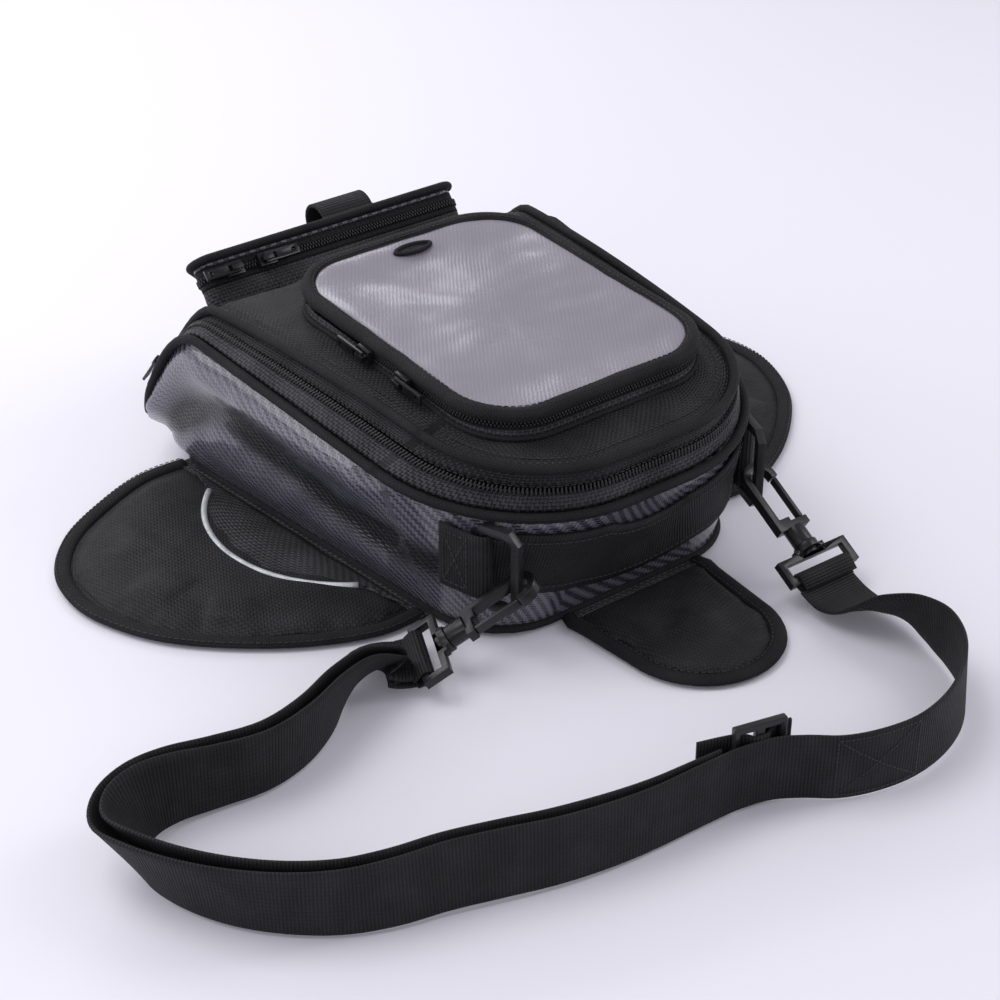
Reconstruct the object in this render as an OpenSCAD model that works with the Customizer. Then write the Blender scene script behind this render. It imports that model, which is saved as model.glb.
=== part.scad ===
// Magnetic motorcycle tank bag: a zipped body with a clear-topped pocket and a
// small pouch on its lid, magnetic wings and flap, and a clip-on shoulder strap.
// Front is -Y, where the strap clips on. The floor is z = 0.

/* [Body] */
// Width of the base at its front end
base_front_w = 178; // [170:2:186]
// Width of the base at its back end
base_back_w = 236; // [228:2:244]
// Height of the main zip at the front
zip_front_h = 80; // [76:1:84]
// Height of the lid's edge at the front
lid_front_h = 101; // [99:1:104]

/* [Window pocket] */
// Width of the clear-topped pocket
pocket_w = 160; // [150:2:166]
// Length of the clear-topped pocket
pocket_l = 198; // [190:2:200]

/* [Pouch] */
// Width of the pouch at its zipped side
pouch_w = 186; // [170:2:190]
// Depth of the pouch down the back slope
pouch_d = 60; // [50:1:60]

/* [Wings and flap] */
// Reach of each wing beyond the base
wing_reach = 126; // [110:2:134]
// Length of the front flap
flap_l = 100; // [80:2:104]
// Width of the front flap
flap_w = 100; // [80:2:100]

/* [Shoulder strap] */
// Width of the webbing
web_w = 38; // [36:1:38]
// Thickness of the webbing
web_t = 2; // [1.6:0.1:2.2]

/* [Hidden] */

// Points on each rounded corner of an outline, and steps along each straight side
corner_n = 6;
edge_n = 6;
group_n = corner_n + edge_n;
ring_n = 4 * group_n;

// Body outline at three levels: front half width, back half width, front y, back y, front and back radius
base_out = [base_front_w / 2, base_back_w / 2, -145, 146, 45, 46];
mid_out = [98, 128, -156, 146, 70, 36];
zip_out = [103, 131, -168, 140, 92, 20];
lid_out = [88, 114, -162, 148, 68, 24];

// Height profile: the zip line rises gently, then drops down the back slope
zip_rise = 0.106;
zip_drop = 100;
zip_drop_from = 70;
zip_drop_run = 70;
zip_drop_power = 1.87;
zip_drop_max = 78;
lid_crown = 13;
lid_crown_y = 20;
lid_crown_run = 182;
lid_drop = 62;
lid_drop_from = 76;
lid_drop_to = 152;
lid_dip = 2;
lid_dip_from = 75;
lid_dip_to = 100;

panel_t = 3;
skin_t = 2;
foam_t = 3;
gap = 0.3;
piping_r = 2.7;

// Lid hinge line along X at the back
hinge_y = 148.5;
hinge_z = 39.5;

// Window pocket: front edge, corner radius, rim height at the front and rise towards the back
pocket_y0 = -135;
pocket_r = 40;
rim_z = 123.6;
rim_rise = 0.052;
pocket_wall = 2;
pocket_split = 7;

// Pouch: local frame with its zipped side on y = 0, thickness along z, laid on the back slope
pouch_tilt = -42;
pouch_y = 106;
pouch_z = 91.5;
pouch_h = 37;
pouch_far_w = 108;
pouch_wall = 2;
pouch_floor_h = 24;

// Pull tabs and zip sliders
slider_l = 11;
slider_w = 8;
slider_h = 5;
pull_l = 22;
pull_w = 6;
pull_t = 1.6;
pin_r = 0.9;

// Wings: panel thickness, and hinge lines along the edges of the base
wing_t = 3;
wing_root = [[-97, -92], [-116, 104]];
wing_shift_right = -10;
flap_x = 5;

// Rings: a rectangular loop of a few millimetres' bar, on a webbing tab sewn to the corner of the wall
ring_z = 52;
ring_bar = 4.5;
ring_h = 49;
ring_pitch = 20;
ring_turn = -70;
ring_pivot = [-90, -140.5];
tab_root = [-104.5, -107];
tab_t = 2.6;
tab_eye_r = 5;

// Snap hooks: eye centre on the ring's outer bar, frame centre
eye_left = [-83.2, -159.3, 44];
frame_left = [-126, -139, 13];
eye_right = [83.2, -159.3, 44];
frame_right = [82, -216, 12];
hook_t = 6;
slot_w = 13;
slot_l = 26;
arm_w = 4;
barrel_r = 6;
frame_in = 40;

// Strap route from the right frame to the left frame: x, y, z of the middle, and lean from upright
strap_route = [
    [82, -216, 11, 90], [82, -228, 7, 88], [82, -240, 8, 80], [83, -252, 12, 62], [85, -266, 17.4, 38],
    [87, -281, 19.8, 18], [86, -297, 19.8, 6], [79, -313, 19.6, 4], [67, -327, 19.6, 4], [50, -339, 19.6, 4],
    [30, -347, 19.5, 2], [8, -350, 19.4, 0], [-13, -347, 19.4, 0], [-31, -340, 19.4, 0], [-45, -329, 19.4, 0],
    [-58, -321, 19.4, 0], [-74, -317, 19.4, 0], [-84, -316, 19.4, 0], [-102, -315, 19.4, 0], [-124, -314, 19.4, 0],
    [-148, -311, 19.6, 2], [-174, -305, 19.8, 4], [-198, -297, 20.2, 6], [-222, -289, 20.2, 6],
    [-246, -283, 19.8, 4], [-268, -274, 19.4, 0], [-288, -260, 19.6, -4], [-305, -242, 19.6, -8],
    [-318, -221, 19.4, -14], [-326, -199, 19, -22], [-327, -180, 17.8, -32], [-319, -166, 18.4, -28],
    [-304, -158, 19.2, -18], [-286, -157, 19.8, -8], [-264, -161, 19.8, 0], [-240, -165, 20.2, 4],
    [-216, -160, 20.4, 6], [-192, -148, 20.6, 12], [-172, -137, 20.4, 30], [-156, -131, 17.4, 52],
    [-147, -128, 12, 74], [-140, -132.5, 9.2, 86], [-131.5, -137.6, 10, 90]
];
// The return layer lies inside the main one, from the left frame back to the adjuster
return_from = 17;
return_gap_ends = 3.8;
return_gap_mid = 7;
adjuster_at = [-63, -315.4, 22];
adjuster_turn = -14;

function mix(a, b, t) = a + (b - a) * t;
function unit(v) = v / norm(v);
function smooth(t) = let(c = min(1, max(0, t))) c * c * (3 - 2 * c);
function wrap(i, n) = (i + n) % n;

// Arc of radius r that rounds the corner p between its neighbours a and b
function corner(a, p, b, r) =
    let(
        u = unit(a - p),
        v = unit(b - p),
        half = acos(u * v) / 2,
        sweep = 180 - 2 * half,
        c = p + unit(u + v) * r / sin(half),
        s = p + u * r / tan(half) - c,
        e = p + v * r / tan(half) - c
    )
    [for (i = [0:corner_n]) c + (s * sin(sweep * (1 - i / corner_n)) + e * sin(sweep * i / corner_n)) / sin(sweep)];

// Rounded trapezoid outline grown by d, counter-clockwise from its front left corner
function outline(o, d = 0) =
    let(
        p = [[-o[0] - d, o[2] - d], [o[0] + d, o[2] - d], [o[1] + d, o[3] + d], [-o[1] - d, o[3] + d]],
        r = [o[4] + d, o[4] + d, o[5] + d, o[5] + d],
        arcs = [for (i = [0:3]) corner(p[wrap(i - 1, 4)], p[i], p[wrap(i + 1, 4)], max(r[i], 3))]
    )
    [for (i = [0:3]) each concat(
        arcs[i],
        [for (j = [1:edge_n - 1]) mix(arcs[i][corner_n], arcs[wrap(i + 1, 4)][0], j / edge_n)]
    )];

// Heights of the zip line and of the lid's edge at a place y along the bag
function zip_z(y) =
    zip_front_h + zip_rise * (y - zip_out[2])
    - min(zip_drop_max, zip_drop * pow(max(0, (y - zip_drop_from) / zip_drop_run), zip_drop_power));
function lid_z(y) =
    lid_front_h + lid_crown * (1 - pow((y - lid_crown_y) / lid_crown_run, 2))
    - lid_drop * smooth((y - lid_drop_from) / (lid_drop_to - lid_drop_from));

// Parabola through the values a, b and c at t = 0, 0.5 and 1
function bend(a, b, c, t) = a * (1 - t) * (1 - 2 * t) + b * 4 * t * (1 - t) + c * t * (2 * t - 1);

// Ring of the body wall at t from 0 at the base to 1 at the zip line, grown by d
wall_z0 = 3.2;
function wall_ring(t, d = 0) =
    let(
        flat = outline(bend(base_out, mid_out, zip_out, t), d),
        top = outline(zip_out)
    )
    [for (k = [0:ring_n - 1]) [flat[k][0], flat[k][1], mix(wall_z0, zip_z(top[k][1]) - 2.5, t)]];

// Ring of the sloping zip band at t from 0 at the zip line to 1 at the lid's edge, grown by d
function band_ring(t, d = 0) =
    let(
        low = outline(zip_out),
        high = outline(lid_out),
        flat = outline(mix(zip_out, lid_out, t), d)
    )
    [for (k = [0:ring_n - 1]) [flat[k][0], flat[k][1], mix(zip_z(low[k][1]), lid_z(high[k][1]), t)]];

// The lid's top sinks a little where the pouch sits on it
function lid_sink(y, inset) =
    lid_dip * smooth((y - lid_dip_from) / (lid_dip_to - lid_dip_from)) * min(1, inset / 20);

// Ring of the lid's top, drawn in from its edge, lifted by lift
function lid_ring(inset, lift) =
    let(flat = outline(lid_out, -inset))
    [for (q = flat) [q[0], q[1], lid_z(q[1]) + lift - lid_sink(q[1], inset)]];

function mean(ring) = [for (s = [[for (q = ring) 1] * ring]) s / len(ring)][0];

// Closed skin through rings of equal length, capped at both ends
module skin(rings) {
    n = len(rings[0]);
    m = len(rings);
    points = concat([for (r = rings) each r], [mean(rings[0]), mean(rings[m - 1])]);
    sides = [for (i = [0:m - 2]) for (k = [0:n - 1]) let(j = (k + 1) % n) each [
        [i * n + k, (i + 1) * n + k, (i + 1) * n + j],
        [i * n + k, (i + 1) * n + j, i * n + j]
    ]];
    low = [for (k = [0:n - 1]) [m * n, k, (k + 1) % n]];
    high = [for (k = [0:n - 1]) [m * n + 1, (m - 1) * n + (k + 1) % n, (m - 1) * n + k]];
    polyhedron(points, concat(sides, low, high));
}

// Skin through rings that closes back on its first ring
module loop_skin(rings) {
    n = len(rings[0]);
    m = len(rings);
    sides = [for (i = [0:m - 1]) for (k = [0:n - 1]) let(j = (k + 1) % n, i2 = (i + 1) % m) each [
        [i * n + k, i2 * n + k, i2 * n + j],
        [i * n + k, i2 * n + j, i * n + j]
    ]];
    polyhedron([for (r = rings) each r], sides);
}

// Circle of a tube at p, travelling along t
function tube_ring(p, t, r, sides) =
    let(n = unit(cross([0, 0, 1], t)), b = cross(t, n))
    [for (i = [0:sides - 1]) p + r * (cos(360 * i / sides) * n + sin(360 * i / sides) * b)];
function tangent(path, i) = unit(path[min(i + 1, len(path) - 1)] - path[max(i - 1, 0)]);
function loop_tangent(path, i) = unit(path[wrap(i + 1, len(path))] - path[wrap(i - 1, len(path))]);

// Round cord along a closed or an open path
module closed_tube(path, r, sides = 6) {
    loop_skin([for (i = [0:len(path) - 1]) tube_ring(path[i], loop_tangent(path, i), r, sides)]);
}
module open_tube(path, r, sides = 6) {
    skin([for (i = [0:len(path) - 1]) tube_ring(path[i], tangent(path, i), r, sides)]);
}

// Flat strap along a route of x, y, z and lean
function strap_ring(route, i, inward = 0) =
    let(
        path = [for (q = route) [q[0], q[1], q[2]]],
        t = tangent(path, i),
        side = unit(cross(t, [0, 0, 1])),
        up = cross(side, t),
        w = cos(route[i][3]) * up + sin(route[i][3]) * side,
        n = cross(w, t)
    )
    [for (c = [[-1, -1], [1, -1], [1, 1], [-1, 1]])
        path[i] + (c[0] * web_t / 2 - inward) * n + c[1] * web_w / 2 * w];
function return_gap(i) =
    let(f = (i - return_from) / (len(strap_route) - 1 - return_from))
    mix(return_gap_ends, return_gap_mid, smooth(6 * f) * smooth(6 * (1 - f)));

// Four-sided band between two rings' heights, over the stations listed
module band_strip(stations, low_out, low_in, high_in, high_out) {
    skin([for (k = stations) [low_out[k], low_in[k], high_in[k], high_out[k]]]);
}
zip_from = 3 * group_n + 3;
zip_to = 2 * group_n + 3;
zip_stations = concat([for (k = [zip_from:ring_n - 1]) k], [for (k = [0:zip_to]) k]);

module base_panel() {
    color("#1b1b1d") linear_extrude(3) polygon(outline(base_out));
}
module base_board() {
    color("#3a3a3c") translate([0, 0, 3.3]) linear_extrude(2.4) polygon(outline(base_out, -8));
}

wall_steps = [0, 0.25, 0.5, 0.75, 1];
module wall(out, inn) {
    up = [for (t = wall_steps) wall_ring(t, out)];
    down = [for (i = [len(wall_steps) - 1:-1:0]) wall_ring(wall_steps[i], inn)];
    loop_skin(concat(up, down));
}
module side_wall() {
    color("#5b5963") wall(0, -skin_t);
}
module wall_foam() {
    color("#2c2c2e") wall(-skin_t - gap, -skin_t - gap - foam_t);
}
module body_piping() {
    ring = outline(zip_out, piping_r + 0.4);
    edge = outline(zip_out);
    color("#19191b") closed_tube([for (k = [0:ring_n - 1]) [ring[k][0], ring[k][1], zip_z(edge[k][1]) - 3]], piping_r);
}
module body_zip_tape() {
    color("#202022") band_strip(
        zip_stations, band_ring(0.06, 2), band_ring(0.06, -0.8), band_ring(0.43, -0.8), band_ring(0.43, 2)
    );
}
module hinge_seam() {
    color("#19191b") translate([-78, hinge_y, hinge_z]) rotate([0, 90, 0]) cylinder(h = 156, r = 1.5, $fn = 32);
}

// Webbing band across the front wall, drooping in the middle
module front_band() {
    stations = [for (k = [3:group_n + 3]) k];
    color("#161618") band_strip(
        stations, wall_ring(0.26, 2.4), wall_ring(0.26, 0.5), wall_ring(0.74, 0.5), wall_ring(0.74, 2.4)
    );
}

// Webbing tab on the left corner, folded round the ring's inner bar
module ring_tab() {
    along = unit(ring_pivot - tab_root);
    out = [along[1], -along[0]];
    color("#1a1a1c") difference() {
        translate([0, 0, ring_z - web_w / 2]) linear_extrude(web_w) union() {
            polygon([tab_root, ring_pivot, ring_pivot + tab_t * out, tab_root + tab_t * out]);
            translate(ring_pivot) circle(r = tab_eye_r, $fn = 32);
        }
        translate([ring_pivot[0], ring_pivot[1], 0]) cylinder(h = 100, r = tab_eye_r - 1.8, $fn = 32);
    }
}
module ring_tab_left() {
    ring_tab();
}
module ring_tab_right() {
    mirror([1, 0, 0]) ring_tab();
}

// Rectangular loop with chamfered corners; its inner bar is round in the tab
module ring_loop() {
    outer_h = ring_h / 2;
    cut = 6;
    reach = ring_pitch + ring_bar / 2;
    back = ring_bar / 2;
    inner_h = outer_h - ring_bar;
    color("#101012") translate([ring_pivot[0], ring_pivot[1], ring_z]) rotate([0, 0, ring_turn]) {
        rotate([90, 0, 0]) translate([0, 0, -ring_bar / 2]) linear_extrude(ring_bar) difference() {
            polygon([
                [-back, -outer_h + 2], [0, -outer_h], [reach - cut, -outer_h], [reach, -outer_h + cut],
                [reach, outer_h - cut], [reach - cut, outer_h], [0, outer_h], [-back, outer_h - 2]
            ]);
            polygon([
                [-back - 1, -inner_h], [reach - cut, -inner_h], [reach - ring_bar, -inner_h + cut - 3],
                [reach - ring_bar, inner_h - cut + 3], [reach - cut, inner_h], [-back - 1, inner_h]
            ]);
        }
        translate([0, 0, -inner_h - 1]) cylinder(h = 2 * inner_h + 2, r = ring_bar / 2, $fn = 32);
    }
}
module ring_left() {
    ring_loop();
}
module ring_right() {
    mirror([1, 0, 0]) ring_loop();
}

// Lid shell: the upper half of the zip band and the crowned, back-sloping top
lid_edge_t = 0.53;
lid_lift = 3;
lid_insets = [20, 40, 60, 78];
module lid_panel() {
    under = [for (i = [len(lid_insets) - 1:-1:0]) lid_ring(lid_insets[i], lid_lift - panel_t)];
    over = [for (d = lid_insets) lid_ring(d, lid_lift)];
    edge_in = [band_ring(1, -panel_t - 0.5), band_ring(0.76, -panel_t), band_ring(lid_edge_t, -panel_t)];
    edge_out = [band_ring(lid_edge_t, 0), band_ring(0.76, 0), band_ring(1, 0)];
    color("#232326") skin(concat(under, edge_in, edge_out, over));
}
module lid_piping() {
    ring = outline(lid_out, piping_r + 0.4);
    edge = outline(lid_out);
    color("#19191b") closed_tube([for (k = [0:ring_n - 1]) [ring[k][0], ring[k][1], lid_z(edge[k][1]) + 1.5]], piping_r);
}
module lid_zip_tape() {
    color("#202022") band_strip(
        zip_stations, band_ring(0.58, 2), band_ring(0.58, gap), band_ring(0.8, gap), band_ring(0.8, 2)
    );
}

// Window pocket on the lid: wall, split at the zip, and the hinged rim with its clear sheet
pocket_out = [pocket_w / 2, pocket_w / 2, pocket_y0, pocket_y0 + pocket_l, pocket_r, pocket_r];
function rim_height(y) = rim_z + rim_rise * (y - pocket_y0);
function pocket_ring(inset, drop) =
    [for (q = outline(pocket_out, -inset)) [q[0], q[1], rim_height(q[1]) - drop]];
function pocket_foot(inset) =
    [for (q = outline(pocket_out, -inset)) [q[0], q[1], min(lid_z(q[1]) + lid_lift + 0.4, rim_height(q[1]) - pocket_split - 3)]];
module pocket_gusset() {
    inn = 3 + pocket_wall;
    color("#1e1e20") loop_skin([
        pocket_foot(3), pocket_ring(3, pocket_split + 1), pocket_ring(inn, pocket_split + 1), pocket_foot(inn)
    ]);
}
module pocket_zip_tape() {
    stations = concat([for (k = [ring_n - 6:ring_n - 1]) k], [for (k = [0:group_n + corner_n + 2]) k]);
    color("#202022") band_strip(
        stations, pocket_ring(1.2, pocket_split + 6), pocket_ring(2.7, pocket_split + 6),
        pocket_ring(2.7, pocket_split + 0.6), pocket_ring(1.2, pocket_split + 0.6)
    );
}
module pocket_rim() {
    color("#1a1a1c") {
        loop_skin([
            pocket_ring(0, pocket_split - 1), pocket_ring(0, 1), pocket_ring(3, -1.2), pocket_ring(7, -0.4),
            pocket_ring(8, 1.6), pocket_ring(5, 2.4), pocket_ring(4, pocket_split - 1)
        ]);
    }
}
module pocket_window() {
    color([0.72, 0.7, 0.76, 0.5]) skin([
        pocket_ring(30, 1.4), pocket_ring(8.4, 1.4), pocket_ring(8.4, 0), pocket_ring(30, -0.3)
    ]);
}

// Pouch: a D-shaped tray on the back slope and a cover hinged on its far side
pouch_out = [pouch_w / 2 + 4, pouch_far_w / 2, 0, pouch_d, 7, 20];
module in_pouch() {
    translate([0, pouch_y, pouch_z]) rotate([pouch_tilt, 0, 0]) children();
}
module pouch_shell() {
    color("#212124") in_pouch() difference() {
        linear_extrude(pouch_floor_h) polygon(outline(pouch_out));
        translate([0, 0, pouch_wall]) linear_extrude(pouch_floor_h) polygon(outline(pouch_out, -pouch_wall));
    }
}
module pouch_zip_tape() {
    color("#202022") in_pouch() translate([0, 0, pouch_floor_h - 7]) linear_extrude(6.5) difference() {
        polygon(outline(pouch_out, 1.8));
        polygon(outline(pouch_out, gap));
        translate([-100, pouch_d - 12]) square([200, 40]);
    }
}
module pouch_cover() {
    color("#55535c") in_pouch() difference() {
        translate([0, 0, pouch_floor_h + 0.6]) linear_extrude(pouch_h - pouch_floor_h - 0.6) polygon(outline(pouch_out));
        linear_extrude(pouch_h - pouch_wall) polygon(outline(pouch_out, -pouch_wall));
    }
}
module pouch_piping() {
    ring = outline(pouch_out, piping_r + 0.2);
    color("#19191b") in_pouch() closed_tube([for (q = ring) [q[0], q[1], pouch_h - 2]], piping_r);
}
// Webbing loop sewn to the pouch's top edge
loop_x = 20;
loop_len = 36;
loop_r = 12;
module handle_loop() {
    color("#161618") in_pouch() translate([loop_x - loop_len / 2, 6, pouch_h + 0.2]) rotate([90, 0, 90])
        linear_extrude(loop_len) difference() {
            union() {
                square([2 * loop_r, 1.8]);
                translate([loop_r, 1.8]) circle(r = loop_r, $fn = 48);
            }
            translate([loop_r, 1.8]) circle(r = loop_r - 2.2, $fn = 48);
            translate([-1, -2 * loop_r]) square([2 * loop_r + 2, 2 * loop_r]);
        }
}

// Zip slider: origin at its middle on the tape's face, x along the zip, z outward
module slider() {
    color("#0e0e10") difference() {
        union() {
            translate([-slider_l / 2, -slider_w / 2, 0]) cube([slider_l, slider_w, slider_h - 1.6]);
            translate([-3, -1.5, slider_h - 2]) cube([7, 3, 3.6]);
        }
        translate([1.6, 0, slider_h]) rotate([90, 0, 0]) cylinder(h = 8, r = pin_r + 0.05, center = true, $fn = 32);
    }
}
// Pull tab with its cross pin through the slider's bridge, reaching along -x
module pull() {
    color("#121214") translate([1.6, 0, slider_h]) {
        rotate([90, 0, 0]) cylinder(h = pull_w, r = pin_r, center = true, $fn = 32);
        for (s = [-1, 1]) translate([-7, s * (pull_w / 2 - 0.6) - 0.6, -pull_t / 2]) cube([7.6, 1.2, pull_t]);
        translate([-pull_l, -pull_w / 2, -pull_t / 2]) difference() {
            cube([pull_l - 6.9, pull_w, pull_t]);
            translate([3.6, pull_w / 2, -1]) cylinder(h = 4, r = 1.4, $fn = 24);
        }
    }
}

// Place a slider at p with x along dir and z towards face
module place(p, dir, face) {
    x = unit(dir);
    y = unit(cross(face, x));
    z = cross(x, y);
    multmatrix([
        [x[0], y[0], z[0], p[0]],
        [x[1], y[1], z[1], p[1]],
        [x[2], y[2], z[2], p[2]],
        [0, 0, 0, 1]
    ]) children();
}
// A place on the main zip at station k, outside the tape, with the slider's x along the zip
module on_zip(k) {
    low = band_ring(0.4, 2.6);
    mid = band_ring(0.5, 2.6);
    high = band_ring(0.6, 2.6);
    along = mid[k + 1] - mid[k - 1];
    place(mid[k], along, cross(along, high[k] - low[k])) children();
}
main_upper_k = 3 * group_n + 6;
main_lower_k = 3 * group_n + 3;
module main_slider_upper() {
    on_zip(main_upper_k) slider();
}
module main_pull_upper() {
    on_zip(main_upper_k) pull();
}
module main_slider_lower() {
    on_zip(main_lower_k) slider();
}
module main_pull_lower() {
    on_zip(main_lower_k) pull();
}
pocket_rear_at = [-pocket_w / 2 - 0.4, -28, rim_height(-28) - pocket_split];
pocket_front_at = [-pocket_w / 2 - 0.4, -62, rim_height(-62) - pocket_split];
module pocket_slider_rear() {
    place(pocket_rear_at, [0, -1, -rim_rise], [-1, 0, 0]) slider();
}
module pocket_pull_rear() {
    place(pocket_rear_at, [0, -1, -rim_rise], [-1, 0, 0]) pull();
}
module pocket_slider_front() {
    place(pocket_front_at, [0, 1, rim_rise], [-1, 0, 0]) slider();
}
module pocket_pull_front() {
    place(pocket_front_at, [0, 1, rim_rise], [-1, 0, 0]) pull();
}
pouch_zip_h = pouch_floor_h + 0.3;
module pouch_slider_inner() {
    in_pouch() place([-50, -2.4, pouch_zip_h], [-1, 0, 0], [0, -1, 0]) slider();
}
module pouch_pull_inner() {
    in_pouch() place([-50, -2.4, pouch_zip_h], [-1, 0, 0], [0, -1, 0]) pull();
}
module pouch_slider_outer() {
    in_pouch() place([-72, -2.4, pouch_zip_h], [1, 0, 0], [0, -1, 0]) slider();
}
module pouch_pull_outer() {
    in_pouch() place([-72, -2.4, pouch_zip_h], [1, 0, 0], [0, -1, 0]) pull();
}

// Left wing outline: a broad lobe on a straight root, as fractions of its root line and reach
wing_lobe = [[0, 0.02], [0.01, 0.22], [0.09, 0.46], [0.21, 0.68], [0.36, 0.87], [0.51, 0.965], [0.64, 0.985],
    [0.78, 0.92], [0.9, 0.75], [0.98, 0.5], [1.03, 0.24], [1.02, 0.02]];
function wing_point(q) =
    let(a = wing_root[0], b = wing_root[1], along = b - a, out = unit([-along[1], along[0]]))
    a + along * q[0] + out * wing_reach * q[1];
wing_edge = [for (q = wing_lobe) wing_point(q)];
binding_w = 9;
module wing_flat() {
    polygon(wing_edge);
}
module wing_panel() {
    color("#1f1f22") translate([0, 0, 0.4]) linear_extrude(wing_t - 0.8) offset(delta = -binding_w - 0.2) wing_flat();
}
module wing_binding() {
    color("#17171a") linear_extrude(wing_t) difference() {
        wing_flat();
        offset(delta = -binding_w) wing_flat();
    }
}
// Pocket panel on the wing, edged by an arc of reflective piping
arc_c = wing_point([0.5, -0.3]);
arc_r = 84;
arc_from = 128;
arc_to = 232;
arc_n = 14;
wing_axis = atan2(wing_root[1][1] - wing_root[0][1], wing_root[1][0] - wing_root[0][0]) - 90;
function arc_point(i, r) =
    let(a = mix(arc_from, arc_to, i / arc_n) + wing_axis) arc_c + r * [cos(a), sin(a)];
module wing_pocket() {
    color("#242427") translate([0, 0, wing_t + 0.2]) linear_extrude(2.2)
        polygon([for (i = [0:arc_n]) arc_point(i, arc_r - 3.2)]);
}
module wing_piping() {
    color("#b9bbbf") open_tube([for (i = [0:arc_n]) let(q = arc_point(i, arc_r)) [q[0], q[1], wing_t + 2.2]], 1.9);
}
module wing_magnets() {
    color("#77777c") for (q = [[0.3, 0.62], [0.52, 0.72], [0.74, 0.62]]) {
        p = wing_point(q);
        translate([p[0], p[1], wing_t + 0.2]) cylinder(h = 3, r = 11, $fn = 48);
    }
}
module right_side() {
    translate([0, wing_shift_right, 0]) mirror([1, 0, 0]) children();
}
module wing_left() {
    wing_panel();
}
module wing_left_binding() {
    wing_binding();
}
module wing_left_pocket() {
    wing_pocket();
}
module wing_left_piping() {
    wing_piping();
}
module wing_left_magnets() {
    wing_magnets();
}
module wing_right() {
    right_side() wing_panel();
}
module wing_right_binding() {
    right_side() wing_binding();
}
module wing_right_pocket() {
    right_side() wing_pocket();
}
module wing_right_piping() {
    right_side() wing_piping();
}
module wing_right_magnets() {
    right_side() wing_magnets();
}

// Front flap: a rounded tongue
flap_root_y = -147;
module flap_flat() {
    round_r = flap_w / 2 - 4;
    hull() {
        translate([flap_x - flap_w / 2, flap_root_y - 8]) square([flap_w, 8]);
        translate([flap_x, flap_root_y - flap_l + round_r]) circle(r = round_r, $fn = 32);
    }
}
module front_flap() {
    color("#1f1f22") translate([0, 0, 0.4]) linear_extrude(wing_t - 0.8) offset(delta = -binding_w - 0.2) flap_flat();
}
module flap_binding() {
    color("#17171a") linear_extrude(wing_t) difference() {
        flap_flat();
        offset(delta = -binding_w) flap_flat();
    }
}
module flap_magnet() {
    color("#77777c") translate([flap_x, flap_root_y - flap_l + 44, wing_t + 0.2]) cylinder(h = 3, r = 14, $fn = 48);
}

// Hook frame of reference: origin in the eye beside the ring's bar, x towards the strap, z out of its flat face
eye_offset = 2;
module in_hook(eye, frame) {
    x = unit(frame - eye);
    z0 = [0, 0, 1] - x[2] * x;
    z = unit(z0);
    y = cross(z, x);
    multmatrix([
        [x[0], y[0], z[0], eye[0] + eye_offset * y[0]],
        [x[1], y[1], z[1], eye[1] + eye_offset * y[1]],
        [x[2], y[2], z[2], eye[2] + eye_offset * y[2]],
        [0, 0, 0, 1]
    ]) children();
}
nose_x = -1;
hook_base_x = nose_x + slot_l;
barrel_l = 9;
collar_x = hook_base_x + 8 + barrel_l;
module hook_body() {
    outer = slot_w / 2 + arm_w;
    color("#0f0f11") {
        translate([0, 0, -hook_t / 2]) linear_extrude(hook_t) difference() {
            union() {
                translate([nose_x, 0]) circle(r = outer, $fn = 48);
                translate([nose_x, -outer]) square([slot_l + 7, 2 * outer]);
            }
            translate([nose_x, 0]) circle(r = slot_w / 2, $fn = 48);
            translate([nose_x, -slot_w / 2]) square([slot_l, slot_w]);
            translate([nose_x + 1.5, 0]) square([slot_l + 1, outer + 1]);
        }
        translate([hook_base_x + 6.5, 0, 0]) rotate([0, 90, 0]) cylinder(h = barrel_l + 1.5, r = barrel_r, $fn = 32);
        translate([collar_x - 0.5, 0, 0]) rotate([0, 90, 0]) cylinder(h = 5.5, r = 2.6, $fn = 32);
        translate([collar_x + 4.6, 0, 0]) rotate([0, 90, 0]) cylinder(h = 2, r = 4.2, $fn = 32);
    }
}
// Sprung gate along the open side of the eye
module hook_gate() {
    color("#161618") {
        translate([nose_x + 2, slot_w / 2 + 0.4, -hook_t / 2 + 0.6]) cube([slot_l + 0.2, 2.4, hook_t - 1.2]);
    }
}
// Web frame with its collar round the swivel's neck
module hook_frame(eye, frame) {
    far_x = collar_x + 20;
    half = frame_in / 2;
    color("#0f0f11") in_hook(eye, frame) {
        difference() {
            translate([collar_x + 0.3, 0, 0]) rotate([0, 90, 0]) cylinder(h = 4, r = 7, $fn = 32);
            translate([collar_x - 1, 0, 0]) rotate([0, 90, 0]) cylinder(h = 7, r = 2.65, $fn = 32);
        }
        translate([0, 0, -2.2]) linear_extrude(4.4) difference() {
            translate([collar_x + 2.4, -half - 4]) square([far_x - collar_x - 2.4, 2 * half + 8]);
            translate([collar_x + 8.2, -half]) square([far_x - collar_x - 12.2, 2 * half]);
            translate([collar_x - 1, -7.4]) square([9, 14.8]);
            translate([collar_x, 10]) square([4.6, 20]);
            translate([collar_x, -30]) square([4.6, 20]);
        }
        for (s = [-1, 1]) translate([collar_x + 2.4, s * 7 - 1.6, -2.2]) cube([1.8, 3.2, 4.4]);
    }
}
module hook_left() {
    in_hook(eye_left, frame_left) hook_body();
}
module hook_gate_left() {
    in_hook(eye_left, frame_left) hook_gate();
}
module hook_frame_left() {
    hook_frame(eye_left, frame_left);
}
module hook_right() {
    in_hook(eye_right, frame_right) hook_body();
}
module hook_gate_right() {
    in_hook(eye_right, frame_right) hook_gate();
}
module hook_frame_right() {
    hook_frame(eye_right, frame_right);
}

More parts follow.
